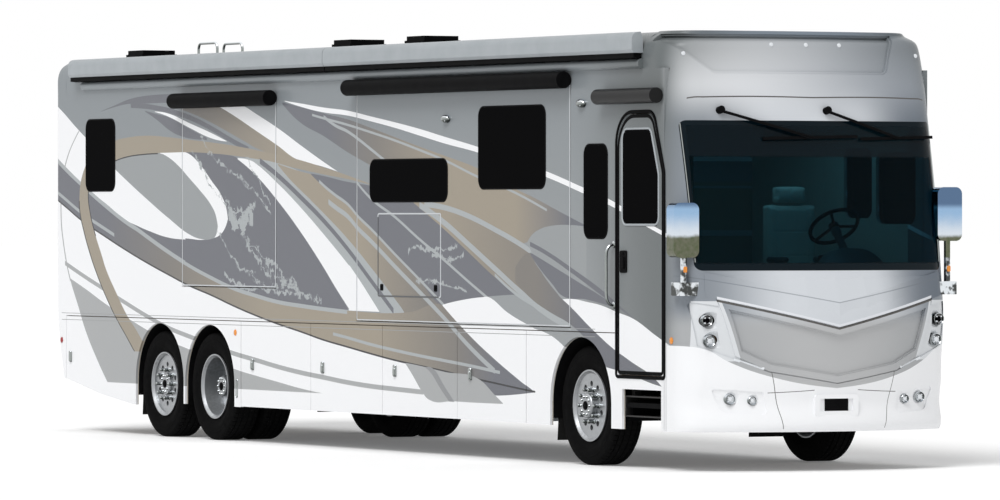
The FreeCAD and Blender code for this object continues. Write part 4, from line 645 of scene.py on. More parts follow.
    m = Look("mirror_glass", srgb(200, 205, 208), 0.02, 1.0)
    m.rough(m.span(m.noise(12.0, 3.0), 0.3, 0.7, 0.01, 0.04))
    looks["mirror_glass"] = m.mat

    m = Look("frame_trim", srgb(120, 124, 126), 0.4, Specular_IOR_Level=0.3)
    x, y, z = m.split(m.coord())
    # painted highlight: the frame's top and front edges lighter, the rest darker
    lit = m.most(m.above(z, 2.14), m.above(x, 1.9))
    m.colour(m.mix(lit, srgb(84, 86, 88), srgb(196, 200, 203)))
    looks["frame_trim"] = m.mat

    m = Look("floor_board", srgb(120, 98, 76), 0.5)
    grain = m.noise(4.0, 6.0, 0.6, stretch=(0.4, 8.0, 1.0))
    m.colour(m.mix(grain, srgb(98, 78, 60), srgb(142, 118, 94)))
    m.bump(grain, 0.12, 0.001)
    looks["floor_board"] = m.mat

    m = Look("clear_glass", srgb(6, 20, 27), 0.03, Specular_IOR_Level=0.1)
    x, y, z = m.split(m.coord())
    side = m.math("ABSOLUTE", y)
    seen = m.node("BsdfTransparent")
    seen.inputs[0].default_value = srgb(142, 196, 212)
    film = m.most(m.span(z, 2.64, 2.66, 0.25, 0.75), m.span(side, 1.165, 1.175))
    film = m.most(film, m.span(z, 1.77, 1.74))
    film = m.most(film, m.span(z, 2.905, 2.915))
    both = m.node("MixShader")
    m.put(both.inputs[0], film)
    m.links.new(seen.outputs[0], both.inputs[1])
    m.links.new(m.bsdf.outputs[0], both.inputs[2])
    m.links.new(both.outputs[0], m.out.inputs["Surface"])
    looks["clear_glass"] = m.mat
    return looks


LOOKS = plain_looks()
for name, node in NODES.items():
    slot = SLOT_OF[name]
    look = LOOKS["livery" if slot in ("body_paint", "white_paint", "silver_paint") else slot]
    if name == "mirrors":
        look = LOOKS["mirror_chrome"]
    node.data.materials.clear()
    node.data.materials.append(look)


def add(name, data):
    """A new object in the scene."""
    obj = bpy.data.objects.new(name, data)
    bpy.context.scene.collection.objects.link(obj)
    return obj


def middle(node):
    """The middle of a CAD node's box."""
    node_low, node_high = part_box(node)
    return (Vector(node_low) + Vector(node_high)) / 2


def surface(nodes, origin, direction):
    """Where a ray first meets any of the CAD nodes named in one string."""
    origin, direction = Vector(origin), Vector(direction)
    spots = []
    for node in nodes.split():
        if node not in TREES:
            mesh = NODES[node].data
            TREES[node] = BVHTree.FromPolygons([v.co for v in mesh.vertices],
                [p.vertices for p in mesh.polygons])
        spot = TREES[node].ray_cast(origin, direction)[0]
        if spot:
            spots.append(spot)
    if not spots:
        raise ValueError("nothing of %s lies at %s" % (nodes, tuple(origin)))
    return min(spots, key=lambda spot: (spot - origin).length)


def piece(name, bm, look, body="body", angle=35):
    """Turns a bmesh into a smooth-shaded piece that rides on a body."""
    bmesh.ops.remove_doubles(bm, verts=bm.verts, dist=1e-6)
    bmesh.ops.recalc_face_normals(bm, faces=bm.faces)
    mesh = bpy.data.meshes.new(name)
    bm.to_mesh(mesh)
    bm.free()
    mesh.shade_smooth()
    mesh.set_sharp_from_angle(angle=math.radians(angle))
    mesh.materials.append(LOOKS[look])
    obj = add(name, mesh)
    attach(obj, body)
    return obj


def skin(bm, rings, closed):
    """Faces between rings of points, each ring joined to the next."""
    made = [[bm.verts.new(p) for p in ring] for ring in rings]
    pairs = list(zip(made, made[1:]))
    if closed:
        pairs.append((made[-1], made[0]))
    for a, b in pairs:
        for i in range(len(a) - 1):
            bm.faces.new((a[i], a[i + 1], b[i + 1], b[i]))
    return made


def lathe(bm, profile, centre, axis, turns=32):
    """Spins (along, radius) corners about an axis through centre, in bm or in a new bmesh."""
    bm = bm or bmesh.new()
    turn = Vector(axis).to_track_quat("Z", "Y")
    rings = []
    for angle in around(turns):
        flat = [Vector((r * math.cos(angle), r * math.sin(angle), a)) for a, r in profile]
        rings.append([Vector(centre) + turn @ p for p in flat])
    skin(bm, rings, True)
    return bm


def sweep(bm, path, section, normal, closed=False):
    """Carries a closed section of (across, out) corners along a path that faces normal, in bm or a new one."""
    bm = bm or bmesh.new()
    rings = []
    count = len(path)
    normal = Vector(normal)
    for i, spot in enumerate(path):
        before = path[i - 1] if closed or i else path[i]
        after = path[(i + 1) % count] if closed or i < count - 1 else path[i]
        across = (after - before).cross(normal).normalized()
        ring = [spot + across * a + normal * b for a, b in section]
        rings.append(ring + ring[:1])
    made = skin(bm, rings, closed)
    if not closed:
        bm.faces.new(made[0][:-1])
        bm.faces.new(made[-1][:-1])
    return bm


def around(count):
    """The angles of a full turn in equal steps."""
    return [2 * math.pi * i / count for i in range(count)]


def circle(radius, count):
    return [(radius * math.cos(t), radius * math.sin(t)) for t in around(count)]


def strip(half, out):
    """A flat section with its outer edges taken off, its back just under the surface."""
    edge, flat = out * 0.3, half * 0.6
    return [(-half, -SUNK), (-half, edge), (-flat, out), (flat, out), (half, edge), (half, -SUNK)]


def rounded(corners, steps=6):
    """Points of a closed outline whose (a, b, radius) corners are rounded."""
    points = []
    for i, (a, b, radius) in enumerate(corners):
        corner = Vector((a, b))
        back = (Vector(corners[i - 1][:2]) - corner).normalized()
        ahead = (Vector(corners[(i + 1) % len(corners)][:2]) - corner).normalized()
        half = back.angle(ahead) / 2
        if radius <= 0:
            points.append(corner)
            continue
        centre = corner + (back + ahead).normalized() * (radius / math.sin(half))
        start = corner + back * (radius / math.tan(half)) - centre
        stop = corner + ahead * (radius / math.tan(half)) - centre
        turn = start.angle_signed(stop)
        for k in range(steps + 1):
            share = -turn * k / steps
            cos, sin = math.cos(share), math.sin(share)
            points.append(centre + Vector((start.x * cos - start.y * sin, start.x * sin + start.y * cos)))
    return points


def rectangle(x0, x1, z0, z1, radius):
    return rounded([(x0, z0, radius), (x1, z0, radius), (x1, z1, radius), (x0, z1, radius)])


def on_side(points, side, out=0.0):
    """Outline points set on the body's side: -1 is the right side, 1 the left."""
    return [Vector((p.x, side * (HALF_WIDTH + out), p.y)) for p in points]


def plate(bm, points, out, normal, bevel=0.0):
    """A flat plate from an outline, raised along normal, its outer edge taken off; bm as for sweep."""
    bm = bm or bmesh.new()
    normal = Vector(normal)
    centre = sum(points, Vector()) / len(points)

    def drawn(inset, rise):
        return [p + (centre - p).normalized() * inset + normal * rise for p in points]

    rings = [drawn(0.0, -SUNK), drawn(0.0, out - bevel), drawn(bevel, out)]
    made = skin(bm, [ring + ring[:1] for ring in rings], False)
    bm.faces.new(made[-1][:-1])
    return bm


HALF_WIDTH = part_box("side_wall_left")[1][1]
TREES = {}
FRONT = "front_cap front_bumper grille windshield"
SIDES = {"right": -1, "left": 1}
AHEAD = 9.0     # a place in front of the nose, where rays start
SUNK = 0.002    # how far the back of a fitting lies under the surface


# Tyres and wheels
TYRE_RADIUS = (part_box("tyre_front_left")[1][2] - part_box("tyre_front_left")[0][2]) / 2
TYRE_HALF = (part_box("tyre_front_left")[1][1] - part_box("tyre_front_left")[0][1]) / 2
BEAD = (0.101, 0.2923)
GROOVES = (0.030, 0.080)
LUGS, BOLTS = 64, 10


def tread_profile():
    """The tyre's section: rounded sidewalls with two raised rings, and a tread of five ribs."""
    bulge = (TYRE_HALF + 0.003, BEAD[1] + 0.11, 0.09)
    shoulder = (TYRE_HALF - 0.014, TYRE_RADIUS, 0.034)
    outline = rounded([(-BEAD[0], BEAD[1], 0), (BEAD[0], BEAD[1], 0), bulge, shoulder,
        (-shoulder[0],) + shoulder[1:], (-bulge[0],) + bulge[1:]], 7)
    half = [p for p in outline if p.x > 0]
    wall = half[:9]
    low, high = half[8], half[9]
    for share, rise in ((0.15, 0.0), (0.2, 0.0018), (0.36, 0.0018), (0.41, 0.0)):
        spot = low.lerp(high, share)
        wall.append(Vector((spot.x + rise, spot.y)))
    wall += half[9:]
    tread = []
    for groove in reversed(GROOVES):
        for across, deep in ((0.006, 0.0), (0.004, 0.011), (-0.004, 0.011), (-0.006, 0.0)):
            tread.append(Vector((groove + across, TYRE_RADIUS - deep)))
    right = wall + tread
    return right + [Vector((-p.x, p.y)) for p in reversed(right)]


def make_tyre(bm, centre):
    """One tyre whose ribs are notched across, more deeply at the shoulders."""
    profile = tread_profile()
    rings = []
    for i in range(LUGS):
        for share, notch in ((0.0, 0.0), (0.80, 0.0), (0.85, 1.0), (0.95, 1.0)):
            angle = 2 * math.pi * (i + share) / LUGS
            ring = []
            for p in profile:
                radius = p.y
                if radius > TYRE_RADIUS - 0.001 and notch:
                    radius -= 0.007 if abs(p.x) > GROOVES[1] else 0.003
                elif radius > TYRE_RADIUS - 0.02 and abs(p.x) > 0.115 and notch:
                    radius -= 0.004
                ring.append(centre + Vector((radius * math.cos(angle), p.x, radius * math.sin(angle))))
            rings.append(ring)
    skin(bm, rings, True)


def nut(bm, centre, axis, radius, length, turns=12):
    """A chrome nut cover with a flange and a rounded end."""
    profile = [(0.0, radius * 1.35), (0.004, radius * 1.35), (0.008, radius), (length * 0.8, radius * 0.92),
        (length * 0.95, radius * 0.7), (length, radius * 0.25), (length, 0.0)]
    lathe(bm, profile, centre, axis, turns)


def make_wheel(axle, side_name):
    side = SIDES[side_name]
    tag = "%s_%s" % (axle, side_name)
    body = "wheel_" + tag
    hub = middle("rim_" + tag)
    tyre_low, tyre_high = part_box("tyre_" + tag)
    outer_y = max(abs(tyre_low[1]), abs(tyre_high[1])) - TYRE_HALF
    inner_y = min(abs(tyre_low[1]), abs(tyre_high[1])) + TYRE_HALF
    bm = bmesh.new()
    for y in sorted({round(outer_y, 4), round(inner_y, 4)}):
        make_tyre(bm, Vector((hub.x, side * y, hub.z)))
    tyre = piece("tyre_tread_" + tag, bm, "tyre", body, angle=28)
    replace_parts(tyre, "tyre_" + tag)

    rim = "rim_" + tag
    bolt_circle, cap_circle, away = 0.143, 0.078, 2.0
    covers = bmesh.new()
    for angle in around(BOLTS):
        out = Vector((math.cos(angle), 0, math.sin(angle)))
        start = Vector((hub.x, side * away, hub.z)) + out * bolt_circle
        foot = surface(rim, start, (0, -side, 0))
        nut(covers, foot, (0, side, 0), 0.018, 0.064)
        start = Vector((hub.x, side * away, hub.z)) + out * cap_circle
        nut(covers, surface(rim, start, (0, -side, 0)), (0, side, 0), 0.009, 0.012, 8)
    piece("nut_covers_" + tag, covers, "chrome", body, angle=40)
    cap = bmesh.new()
    foot = surface(rim, (hub.x, side * away, hub.z), (0, -side, 0))
    lathe(cap, [(0.0, 0.04), (0.006, 0.038), (0.01, 0.03), (0.014, 0.024), (0.016, 0.01), (0.012, 0.0)],
        foot, (0, side, 0), 28)
    piece("hub_plug_" + tag, cap, "black_plastic", body)


# The entry door and what is beside it
def make_entry():
    door_low, door_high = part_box("entry_door")
    rear, front, bottom, top = door_low[0], door_high[0], door_low[2], door_high[2]
    out = (0, -1, 0)
    slant_z, slant = 2.52, 0.19

    def outline(grow):
        return rounded([(rear - grow, bottom - grow, 0.03), (front + grow, bottom - grow, 0.03),
            (front + grow, slant_z, 0.12), (front - slant + grow, top + grow, 0.13),
            (rear - grow, top + grow, 0.28)], 10)

    piece("door_frame_seal", sweep(None, on_side(outline(0.021), -1), strip(0.014, 0.01), out, True),
        "black_plastic")
    piece("door_seal", sweep(None, on_side(outline(-0.016), -1), strip(0.0155, 0.005), out, True),
        "black_plastic", "entry_door")
    glass_low, glass_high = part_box("entry_door_glass")
    bm = bmesh.new()
    inset = rounded([(glass_low[0], glass_low[2], 0.07), (glass_high[0], glass_low[2], 0.07),
        (glass_high[0], slant_z - 0.02, 0.12), (glass_high[0] - slant * 0.75, glass_high[2], 0.07),
        (glass_low[0], glass_high[2], 0.09)], 8)
    sweep(bm, on_side(inset, -1), strip(0.011, 0.006), out, True)
    piece("door_window_bead", bm, "awning_silver", "entry_door")

    # lockset: a black plate with a paddle and a key cylinder
    bm = bmesh.new()
    plate(bm, on_side(rectangle(rear + 0.055, rear + 0.175, 1.665, 1.855, 0.018), -1), 0.012, out, 0.003)
    plate(bm, on_side(rectangle(rear + 0.085, rear + 0.15, 1.7, 1.8, 0.02), -1, 0.012), 0.016, out, 0.006)
    lathe(bm, [(0.0, 0.013), (0.004, 0.013), (0.006, 0.01), (0.006, 0.0)], (rear + 0.117,
        -HALF_WIDTH - 0.012, 1.832), out, 20)
    piece("door_lock", bm, "black_plastic", "entry_door")

    # grab handle: a chrome bow on two feet
    x = rear - 0.065
    reach = 0.075
    bow = [(0.0, 1.905), (0.5, 1.897), (0.85, 1.865), (1.0, 1.81), (1.0, 1.65), (1.0, 1.48), (0.85, 1.425),
        (0.5, 1.395), (0.0, 1.387)]
    path = [Vector((x, -HALF_WIDTH - share * reach, z)) for share, z in smooth_path(bow, 5)]
    bm = bmesh.new()
    sweep(bm, path, circle(0.013, 14), (1, 0, 0))
    for z in (1.905, 1.387):
        lathe(bm, [(0.0, 0.03), (0.006, 0.029), (0.012, 0.018), (0.014, 0.0)], (x, -HALF_WIDTH, z), out, 24)
    piece("grab_handle", bm, "chrome")

    # step pad with raised ribs
    step_low, step_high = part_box("entry_step")
    bm = bmesh.new()
    ribs = 9
    for i in range(ribs):
        y = step_low[1] + 0.03 + (step_high[1] - step_low[1] - 0.06) * i / (ribs - 1)
        path = [Vector((step_low[0] + 0.03, y, step_high[2])), Vector((step_high[0] - 0.03, y,
            step_high[2]))]
        sweep(bm, path, strip(0.006, 0.003), (0, 0, 1))
    piece("step_pad", bm, "tyre", "entry_step")


def smooth_path(points, steps):
    """Points on a smooth curve through (a, b) points."""
    rows = [Vector(p) for p in points]
    rows = [rows[0] * 2 - rows[1]] + rows + [rows[-1] * 2 - rows[-2]]
    out = []
    for p0, p1, p2, p3 in zip(rows, rows[1:], rows[2:], rows[3:]):
        for k in range(steps):
            t = k / steps
            out.append(0.5 * (2 * p1 + (p2 - p0) * t + (2 * p0 - 5 * p1 +
                4 * p2 - p3) * t * t + (3 * p1 - p0 - 3 * p2 + p3) * t ** 3))
    return out + [rows[-2]]


# Beads, latches and lamps on the sides
def make_side_fittings():
    out = {-1: (0, -1, 0), 1: (0, 1, 0)}
    glass = (("window_glass", "body"), ("slide_right_front_glass", "slide_right_front"),
        ("slide_left_glass", "slide_left"))
    for node, body in glass:
        bm = bmesh.new()
        for box_low, box_high in islands(node):
            side = 1 if box_low[1] > 0 else -1
            path = on_side(rectangle(box_low[0], box_high[0], box_low[2], box_high[2], 0.09), side)
            sweep(bm, path, strip(0.007, 0.0045), out[side], True)
        piece(node + "_bead", bm, "black_plastic", body)

    # the slide rooms' flanges
    for room in ("slide_right_front", "slide_right_rear", "slide_left"):
        box_low, box_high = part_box(room)
        side = 1 if box_low[1] > 0 else -1
        bm = bmesh.new()
        path = on_side(rectangle(box_low[0] + 0.008, box_high[0] - 0.008, box_low[2] + 0.008,
            box_high[2] - 0.008, 0.012), side)
        sweep(bm, path, strip(0.0055, 0.003), out[side], True)
        piece(room + "_flange", bm, "white_trim", room)

    # the hatch below the small window
    room_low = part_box("slide_right_front")[0]
    x0, x1, z0, z1 = room_low[0] + 0.45, room_low[0] + 1.73, 1.42, 2.17
    piece("hatch_frame", sweep(None, on_side(rectangle(x0, x1, z0, z1, 0.02), -1), strip(0.007, 0.004),
        out[-1], True), "frame_trim", "slide_right_front")
    bm = bmesh.new()
    for x in (x0 + 0.08, x1 - 0.10):
        plate(bm, on_side(rectangle(x - 0.028, x + 0.028, 1.47, 1.53, 0.012), -1), 0.008, out[-1], 0.003)
        lathe(bm, [(0.0, 0.016), (0.005, 0.015), (0.006, 0.0)], (x, -HALF_WIDTH - 0.008, 1.50), out[-1], 18)
    piece("hatch_latches", bm, "black_plastic", "slide_right_front")

    # latches on the luggage doors, over the solid's own boss
    for name, side in SIDES.items():
        for i in range(1, 5):
            door = "bay_door_%s_%d" % (name, i)
            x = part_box(door)[0][0] + 0.262
            bm = bmesh.new()
            plate(bm, on_side(rectangle(x - 0.025, x + 0.025, 0.69, 0.8, 0.012), side), 0.0165, out[side],
                0.004)
            plate(bm, on_side(rectangle(x - 0.017, x + 0.017, 0.7, 0.77, 0.01), side, 0.0165), 0.006,
                out[side], 0.003)
            piece("latch_%s_%d" % (name, i), bm, "chrome", door)
        bm = bmesh.new()
        rear_x = -6.37
        plate(bm, on_side(rectangle(rear_x - 0.025, rear_x + 0.025, 0.69, 0.8, 0.012), side), 0.016,
            out[side], 0.004)
        grip_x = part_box("bay_door_%s_1" % name)[0][0] - 0.10
        sweep(bm, on_side(rectangle(grip_x - 0.016, grip_x + 0.016, 0.425, 0.595, 0.0155), side),
            strip(0.006, 0.006), out[side], True)
        piece("skirt_fittings_" + name, bm, "chrome")

        # side markers and docking lamps
        for tag, look, places in (("amber", "amber_glass", ((-2.45, 1.04), (6.28, 1.10))),
                                  ("red", "red_glass", ((-6.60, 0.905),))):
            bm = bmesh.new()
            for x, z in places:
                spot = Vector((x, side * HALF_WIDTH, z))
                if x > 5:
                    spot = surface(FRONT, (x, side * 3.0, z), (0, -side, 0))
                lathe(bm, [(-0.004, 0.03), (0.004, 0.03), (0.007, 0.026), (0.007, 0.022), (0.012, 0.016),
                    (0.014, 0.0)], spot, out[side], 24)
            piece("marker_%s_%s" % (tag, name), bm, look)
        room = "slide_right_front" if side < 0 else "slide_left"
        for x, z, body in ((4.67, 3.12, "body"), (2.06, 3.02, room)):
            bm = bmesh.new()
            rings = []
            for grow, rise in ((1.0, -0.002), (1.0, 0.012), (0.95, 0.024), (0.82, 0.036), (0.55, 0.045),
                               (0.2, 0.049)):
                turns = [2 * math.pi * k / 24 for k in range(25)]
                rings.append([Vector((x + 0.07 * grow * math.cos(a), side * (HALF_WIDTH + rise),
                    z + 0.038 * grow * math.sin(a))) for a in turns])
            made = skin(bm, rings, False)
            bm.faces.new(made[-1][:-1])
            piece("docking_lamp_%s_%d" % (name, x), bm, "chrome", body)
            piece("docking_lens_%s_%d" % (name, x), lathe(None, [(0.0, 0.026), (0.004, 0.024),
                (0.008, 0.014), (0.009, 0.0)], (x + 0.02, side * (HALF_WIDTH + 0.037), z), out[side], 24),
                "lamp_clear", body)

    # a black channel under the awning cassettes, standing for the shade in the slot there
    bm = bmesh.new()
    joint = -0.3085
    for x0, x1 in ((-6.19, joint - 0.01), (joint + 0.01, 5.76)):
        path = [Vector((x, -HALF_WIDTH, 3.508)) for x in (x0, (x0 + x1) / 2, x1)]
        sweep(bm, path, [(-0.022, 0.02), (-0.022, 0.084), (0.018, 0.084), (0.024, 0.02)], out[-1])
    piece("awning_shadow_strip", bm, "black_plastic")

    # mud flaps behind the front and tag wheels
    for axle in ("front", "tag"):
        hub = middle("rim_%s_left" % axle)
        x = hub.x - TYRE_RADIUS - 0.075
        bm = bmesh.new()
        for side in (-1, 1):
            rows = []
            for z in (0.20, 0.35, 0.50, 0.65, 0.78):
                lean = 0.02 * math.sin((z - 0.2) * 5)
                rows.append([Vector((x + lean + d, side * y, z)) for y, d in ((0.7, 0), (0.82, 0.006),
                    (0.95, 0), (1.08, 0.006), (1.2, 0))])
            skin(bm, rows, False)
        bmesh.ops.solidify(bm, geom=bm.faces, thickness=0.008)
        piece("mud_flaps_" + axle, bm, "rubber")


def islands(node):
    """The boxes of a node's separate solids."""
    bm = bmesh.new()
    bm.from_mesh(NODES[node].data)
    bmesh.ops.remove_doubles(bm, verts=bm.verts, dist=1e-5)
    seen, boxes = set(), []
    for start in bm.verts:
        if start in seen:
            continue
        stack, group = [start], []
        seen.add(start)
        while stack:
            v = stack.pop()
            group.append(v.co.copy())
            for edge in v.link_edges:
                other = edge.other_vert(v)
                if other not in seen:
                    seen.add(other)
                    stack.append(other)
        boxes.append((Vector((min((c[i] for c in group)) for i in range(3))),
            Vector((max((c[i] for c in group)) for i in range(3)))))
    bm.free()
    return boxes


# Front and rear
def make_lamps():
    """Chrome rings, a projector and small emitters in each round lamp, by its box."""
    rings, cores, lenses = bmesh.new(), bmesh.new(), bmesh.new()
    for box_low, box_high in islands("lamps"):
        if box_low[0] < 0:
            continue
        spot = (box_low + box_high) / 2
        radius = (box_high[1] - box_low[1]) / 2
        face = surface("lamps", (AHEAD, spot.y, spot.z), (-1, 0, 0))
        rim = max((surface("lamps", (AHEAD, spot.y + s * radius * 0.9, spot.z), (-1, 0, 0)).x for s in (-1,
            1)))
        base = Vector((face.x, spot.y, spot.z))
        lift = max(rim - face.x, 0.0) + 0.001
        lathe(rings, [(-0.01, radius * 0.99), (lift + 0.004, radius * 0.99), (lift + 0.006, radius * 0.93),
            (lift + 0.002, radius * 0.86), (-0.002, radius * 0.82)], base, (1, 0, 0), 36)
        core = cores if spot.z > 1.2 else lenses
        lathe(core, [(0.0, radius * 0.46), (lift + 0.004, radius * 0.44), (lift + 0.009, radius * 0.3),
            (lift + 0.011, 0.0)], base, (1, 0, 0), 28)
        for i in range(4):
            angle = math.pi * (i + 0.5) / 2
            out = Vector((0, math.cos(angle), math.sin(angle))) * radius * 0.6
            lathe(lenses, [(0.0, radius * 0.15), (lift + 0.003, radius * 0.14), (lift + 0.005, 0.0)],
                base + out, (1, 0, 0), 14)
    piece("lamp_rings", rings, "chrome")
    piece("lamp_projectors", cores, "dark_glass")
    piece("lamp_emitters", lenses, "lamp_clear")

    bars = bmesh.new()
    for side in (-1, 1):
        path = []
        for i in range(9):
            share = i / 8
            y, z = 0.905 - 0.245 * share, 0.946 - 0.078 * share
            path.append(surface(FRONT, (AHEAD, side * y, z), (-1, 0, 0)))
        sweep(bars, path, [(-0.011, -0.001), (-0.011, 0.004), (-0.005, 0.008), (0.005, 0.008),
            (0.011, 0.004), (0.011, -0.001)], (1, 0, 0))
    piece("day_lamps", bars, "lamp_clear")

    markers = bmesh.new()
    for y in (-1.13, -0.33, 0.0, 0.33, 1.13):
        z = 3.60 if abs(y) < 1 else 3.52
        spot = surface(FRONT, (AHEAD, y, z), (-1, 0, 0))
        lathe(markers, [(-0.004, 0.019), (0.006, 0.018), (0.01, 0.012), (0.012, 0.0)], spot, (1, 0, 0.25),
            20)
    piece("brow_markers", markers, "lamp_clear")

    reds = bmesh.new()
    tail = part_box("rear_cap")[0][0]
    for y in (-1.0, -0.2, 0.0, 0.2, 1.0):
        spot = surface("rear_cap", (tail - 1, y, 3.45), (1, 0, 0))
        plate(reds, [spot + Vector((0, p.x, p.y)) for p in rectangle(-0.035, 0.035, -0.012, 0.012, 0.011)],
            0.01, (-1, 0, 0), 0.003)
    piece("tail_markers", reds, "red_glass")


def make_tail():
    """Louvres and a blank plate on the engine door."""
    low_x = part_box("engine_door")[0][0]
    slats = bmesh.new()
    for i in range(12):
        z = 1.10 + 0.036 * i
        for y0, y1 in ((-0.72, -0.02), (0.02, 0.72)):
            path = []
            for k in range(7):
                y = y0 + (y1 - y0) * k / 6
                path.append(surface("engine_door", (low_x - 1, y, z), (1, 0, 0)))
            sweep(slats, path, [(-0.014, -0.002), (-0.012, 0.011), (0.004, 0.005), (0.014, -0.002)],
                (-1, 0, 0))
    piece("engine_louvres", slats, "black_plastic", "engine_door")
    spot = surface("engine_door", (low_x - 1, 0, 0.9), (1, 0, 0))
    bm = bmesh.new()
    outline = [spot + Vector((0, p.x, p.y)) for p in rectangle(-0.165, 0.165, -0.085, 0.085, 0.012)]
    plate(bm, outline, 0.006, (-1, 0, 0), 0.002)
    piece("blank_plate_rear", bm, "black_plastic", "engine_door")


def make_front_trim():
    """Blank front plate, windshield pillar trims, mirror glass and the mirrors' markers."""
    bm = bmesh.new()
    spot = surface(FRONT, (AHEAD, 0, 0.55), (-1, 0, 0))
    outline = [spot + Vector((0, p.x, p.y)) for p in rectangle(-0.112, 0.112, -0.066, 0.072, 0.01)]
    plate(bm, outline, 0.012, (1, 0, 0), 0.002)
    piece("blank_plate_front", bm, "black_plastic")

    strips = bmesh.new()
    for side in (-1, 1):
        path = []
        for i in range(13):
            z = 1.76 + (2.93 - 1.76) * i / 12
            y = side * (1.182 + 0.0198 * (z - 1.69))
            path.append(surface(FRONT, (AHEAD, y, z), (-1, 0, 0)))
        sweep(strips, path, strip(0.007, 0.006), Vector((1, side * 0.8, 0)).normalized())
    piece("windshield_pillar_trims", strips, "chrome")

    for box_low, box_high in islands("mirrors"):
        side = 1 if box_low[1] > 0 else -1
        bm = bmesh.new()
        top = box_high[2]
        y0, y1 = sorted((side * 1.175, side * 1.385))
        outline = [Vector((0, p.x, p.y)) for p in rectangle(y0, y1, top - 0.43, top - 0.03, 0.045)]
        back = surface("mirrors", (5.0, side * 1.28, top - 0.2), (1, 0, 0))
        plate(bm, [p + Vector((back.x, 0, 0)) for p in outline], 0.003, (-1, 0, 0), 0.001)
        piece("mirror_glass_" + ("left" if side > 0 else "right"), bm, "mirror_glass")
        bm = bmesh.new()
        spot = surface("mirrors", (AHEAD, side * 1.28, 1.70), (-1, 0, 0))
        outline = [spot + Vector((0, p.x, p.y)) for p in rectangle(-0.017, 0.017, -0.026, 0.026, 0.012)]
        plate(bm, outline, 0.006, (1, 0, 0), 0.002)
        piece("mirror_marker_" + ("left" if side > 0 else "right"), bm, "amber_glass")


def make_dash():
    """A moulded dash with an instrument hood, screens, air vents and the steering column."""
    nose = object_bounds()[1][0]
    rows = 61

    def hump(y):
        return math.exp(-((y - 0.52) / 0.30) ** 4)

    bm = bmesh.new()
    rings = []
    for i in range(rows):
        y = -1.0 + 2.0 * i / (rows - 1)
        rise = hump(y)
        front = nose - 0.235 - 0.13 * min(1.0, max(0.0, (abs(y) - 0.5) / 0.5))
        back = nose - 0.80 - 0.07 * rise
        top = 1.665 + 0.215 * rise
        corners = rounded([(front - 0.02, 1.485, 0), (front, 1.53, 0.02), (front - 0.1, 1.6, 0.06),
            (back + 0.17, top, 0.09), (back, top - 0.03, 0.02), (back + 0.03, 1.53, 0.03),
            (back + 0.12, 1.485, 0)], 5)
        rings.append([Vector((p.x, y, p.y)) for p in corners])
    made = skin(bm, rings, False)
    bm.faces.new(made[0])
    bm.faces.new(made[-1])
    path = [Vector((nose - 0.50, y, z)) for y, z in ((-0.99, 1.19), (0.0, 1.19), (0.99, 1.19))]
    sweep(bm, path, [(-0.30, -0.055), (-0.30, 0.055), (0.0, 0.055), (0.0, -0.055)], (1, 0, 0))
    hub = middle("steering_wheel")
    along = Vector((0.664, 0.0, -0.748))
    lathe(bm, [(0.03, 0.0), (0.03, 0.04), (0.08, 0.044), (0.1, 0.034), (0.42, 0.034), (0.42, 0.0)], hub,
        along, 24)
    cover = piece("dash_cover", bm, "trim", angle=50)
    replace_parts(cover, "dashboard")

    back = nose - 0.87
    bm = bmesh.new()
    for y, half in ((0.40, 0.115), (0.64, 0.105)):
        outline = [Vector((back + 0.008, y + p.x, 1.745 + p.y)) for p in rectangle(-half, half, -0.07, 0.07,
            0.012)]
        plate(bm, outline, 0.012, (-1, 0, 0), 0.003)
    for y in (0.33, 0.40, 0.47):
        lathe(bm, [(0.0, 0.03), (0.014, 0.03), (0.014, 0.027), (0.01, 0.026), (0.01, 0.0)],
            (back - 0.004, y, 1.745), (-1, 0, 0), 24)
    piece("dash_screens", bm, "dark_glass")
    vents = bmesh.new()
    for y in (-0.70, -0.25, 0.02, 0.93):
        for i in range(5):
            z = 1.565 + 0.016 * i
            path = [Vector((nose - 0.792, y + d, z)) for d in (-0.07, 0.0, 0.07)]
            sweep(vents, path, [(-0.005, -0.004), (-0.004, 0.01), (0.002, 0.008), (0.005, -0.004)],
                (-1, 0, 0))
    piece("dash_vents", vents, "black_plastic")


def make_roll_ends():
    """Stepped end caps on the slide toppers."""
    for node in ("slide_right_front_topper", "slide_right_rear_topper", "slide_left_topper"):
        box_low, box_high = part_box(node)
        side = 1 if box_low[1] > 0 else -1
        radius = (box_high[2] - box_low[2]) / 2
        y = side * (max(abs(box_low[1]), abs(box_high[1])) - radius)
        bm = bmesh.new()
        for x, turn in ((box_low[0], -1), (box_high[0], 1)):
            lathe(bm, [(-0.02, radius * 0.985), (0.004, radius * 0.96), (0.007, radius * 0.82),
                (0.002, radius * 0.74), (0.002, radius * 0.4), (0.012, radius * 0.34), (0.014, 0.0)],
                (x - turn * 0.014, y, box_high[2] - radius), (turn, 0, 0), 36)
        piece(node + "_ends", bm, "awning_silver", node[:-len("_topper")])


# Seats
VOXEL, QUICK_VOXEL = 0.006, 0.02
PRESSURE, LAST_FRAME = 4.0, 20
SEAM_DEPTH, SEAM_HALF = 0.009, 0.008


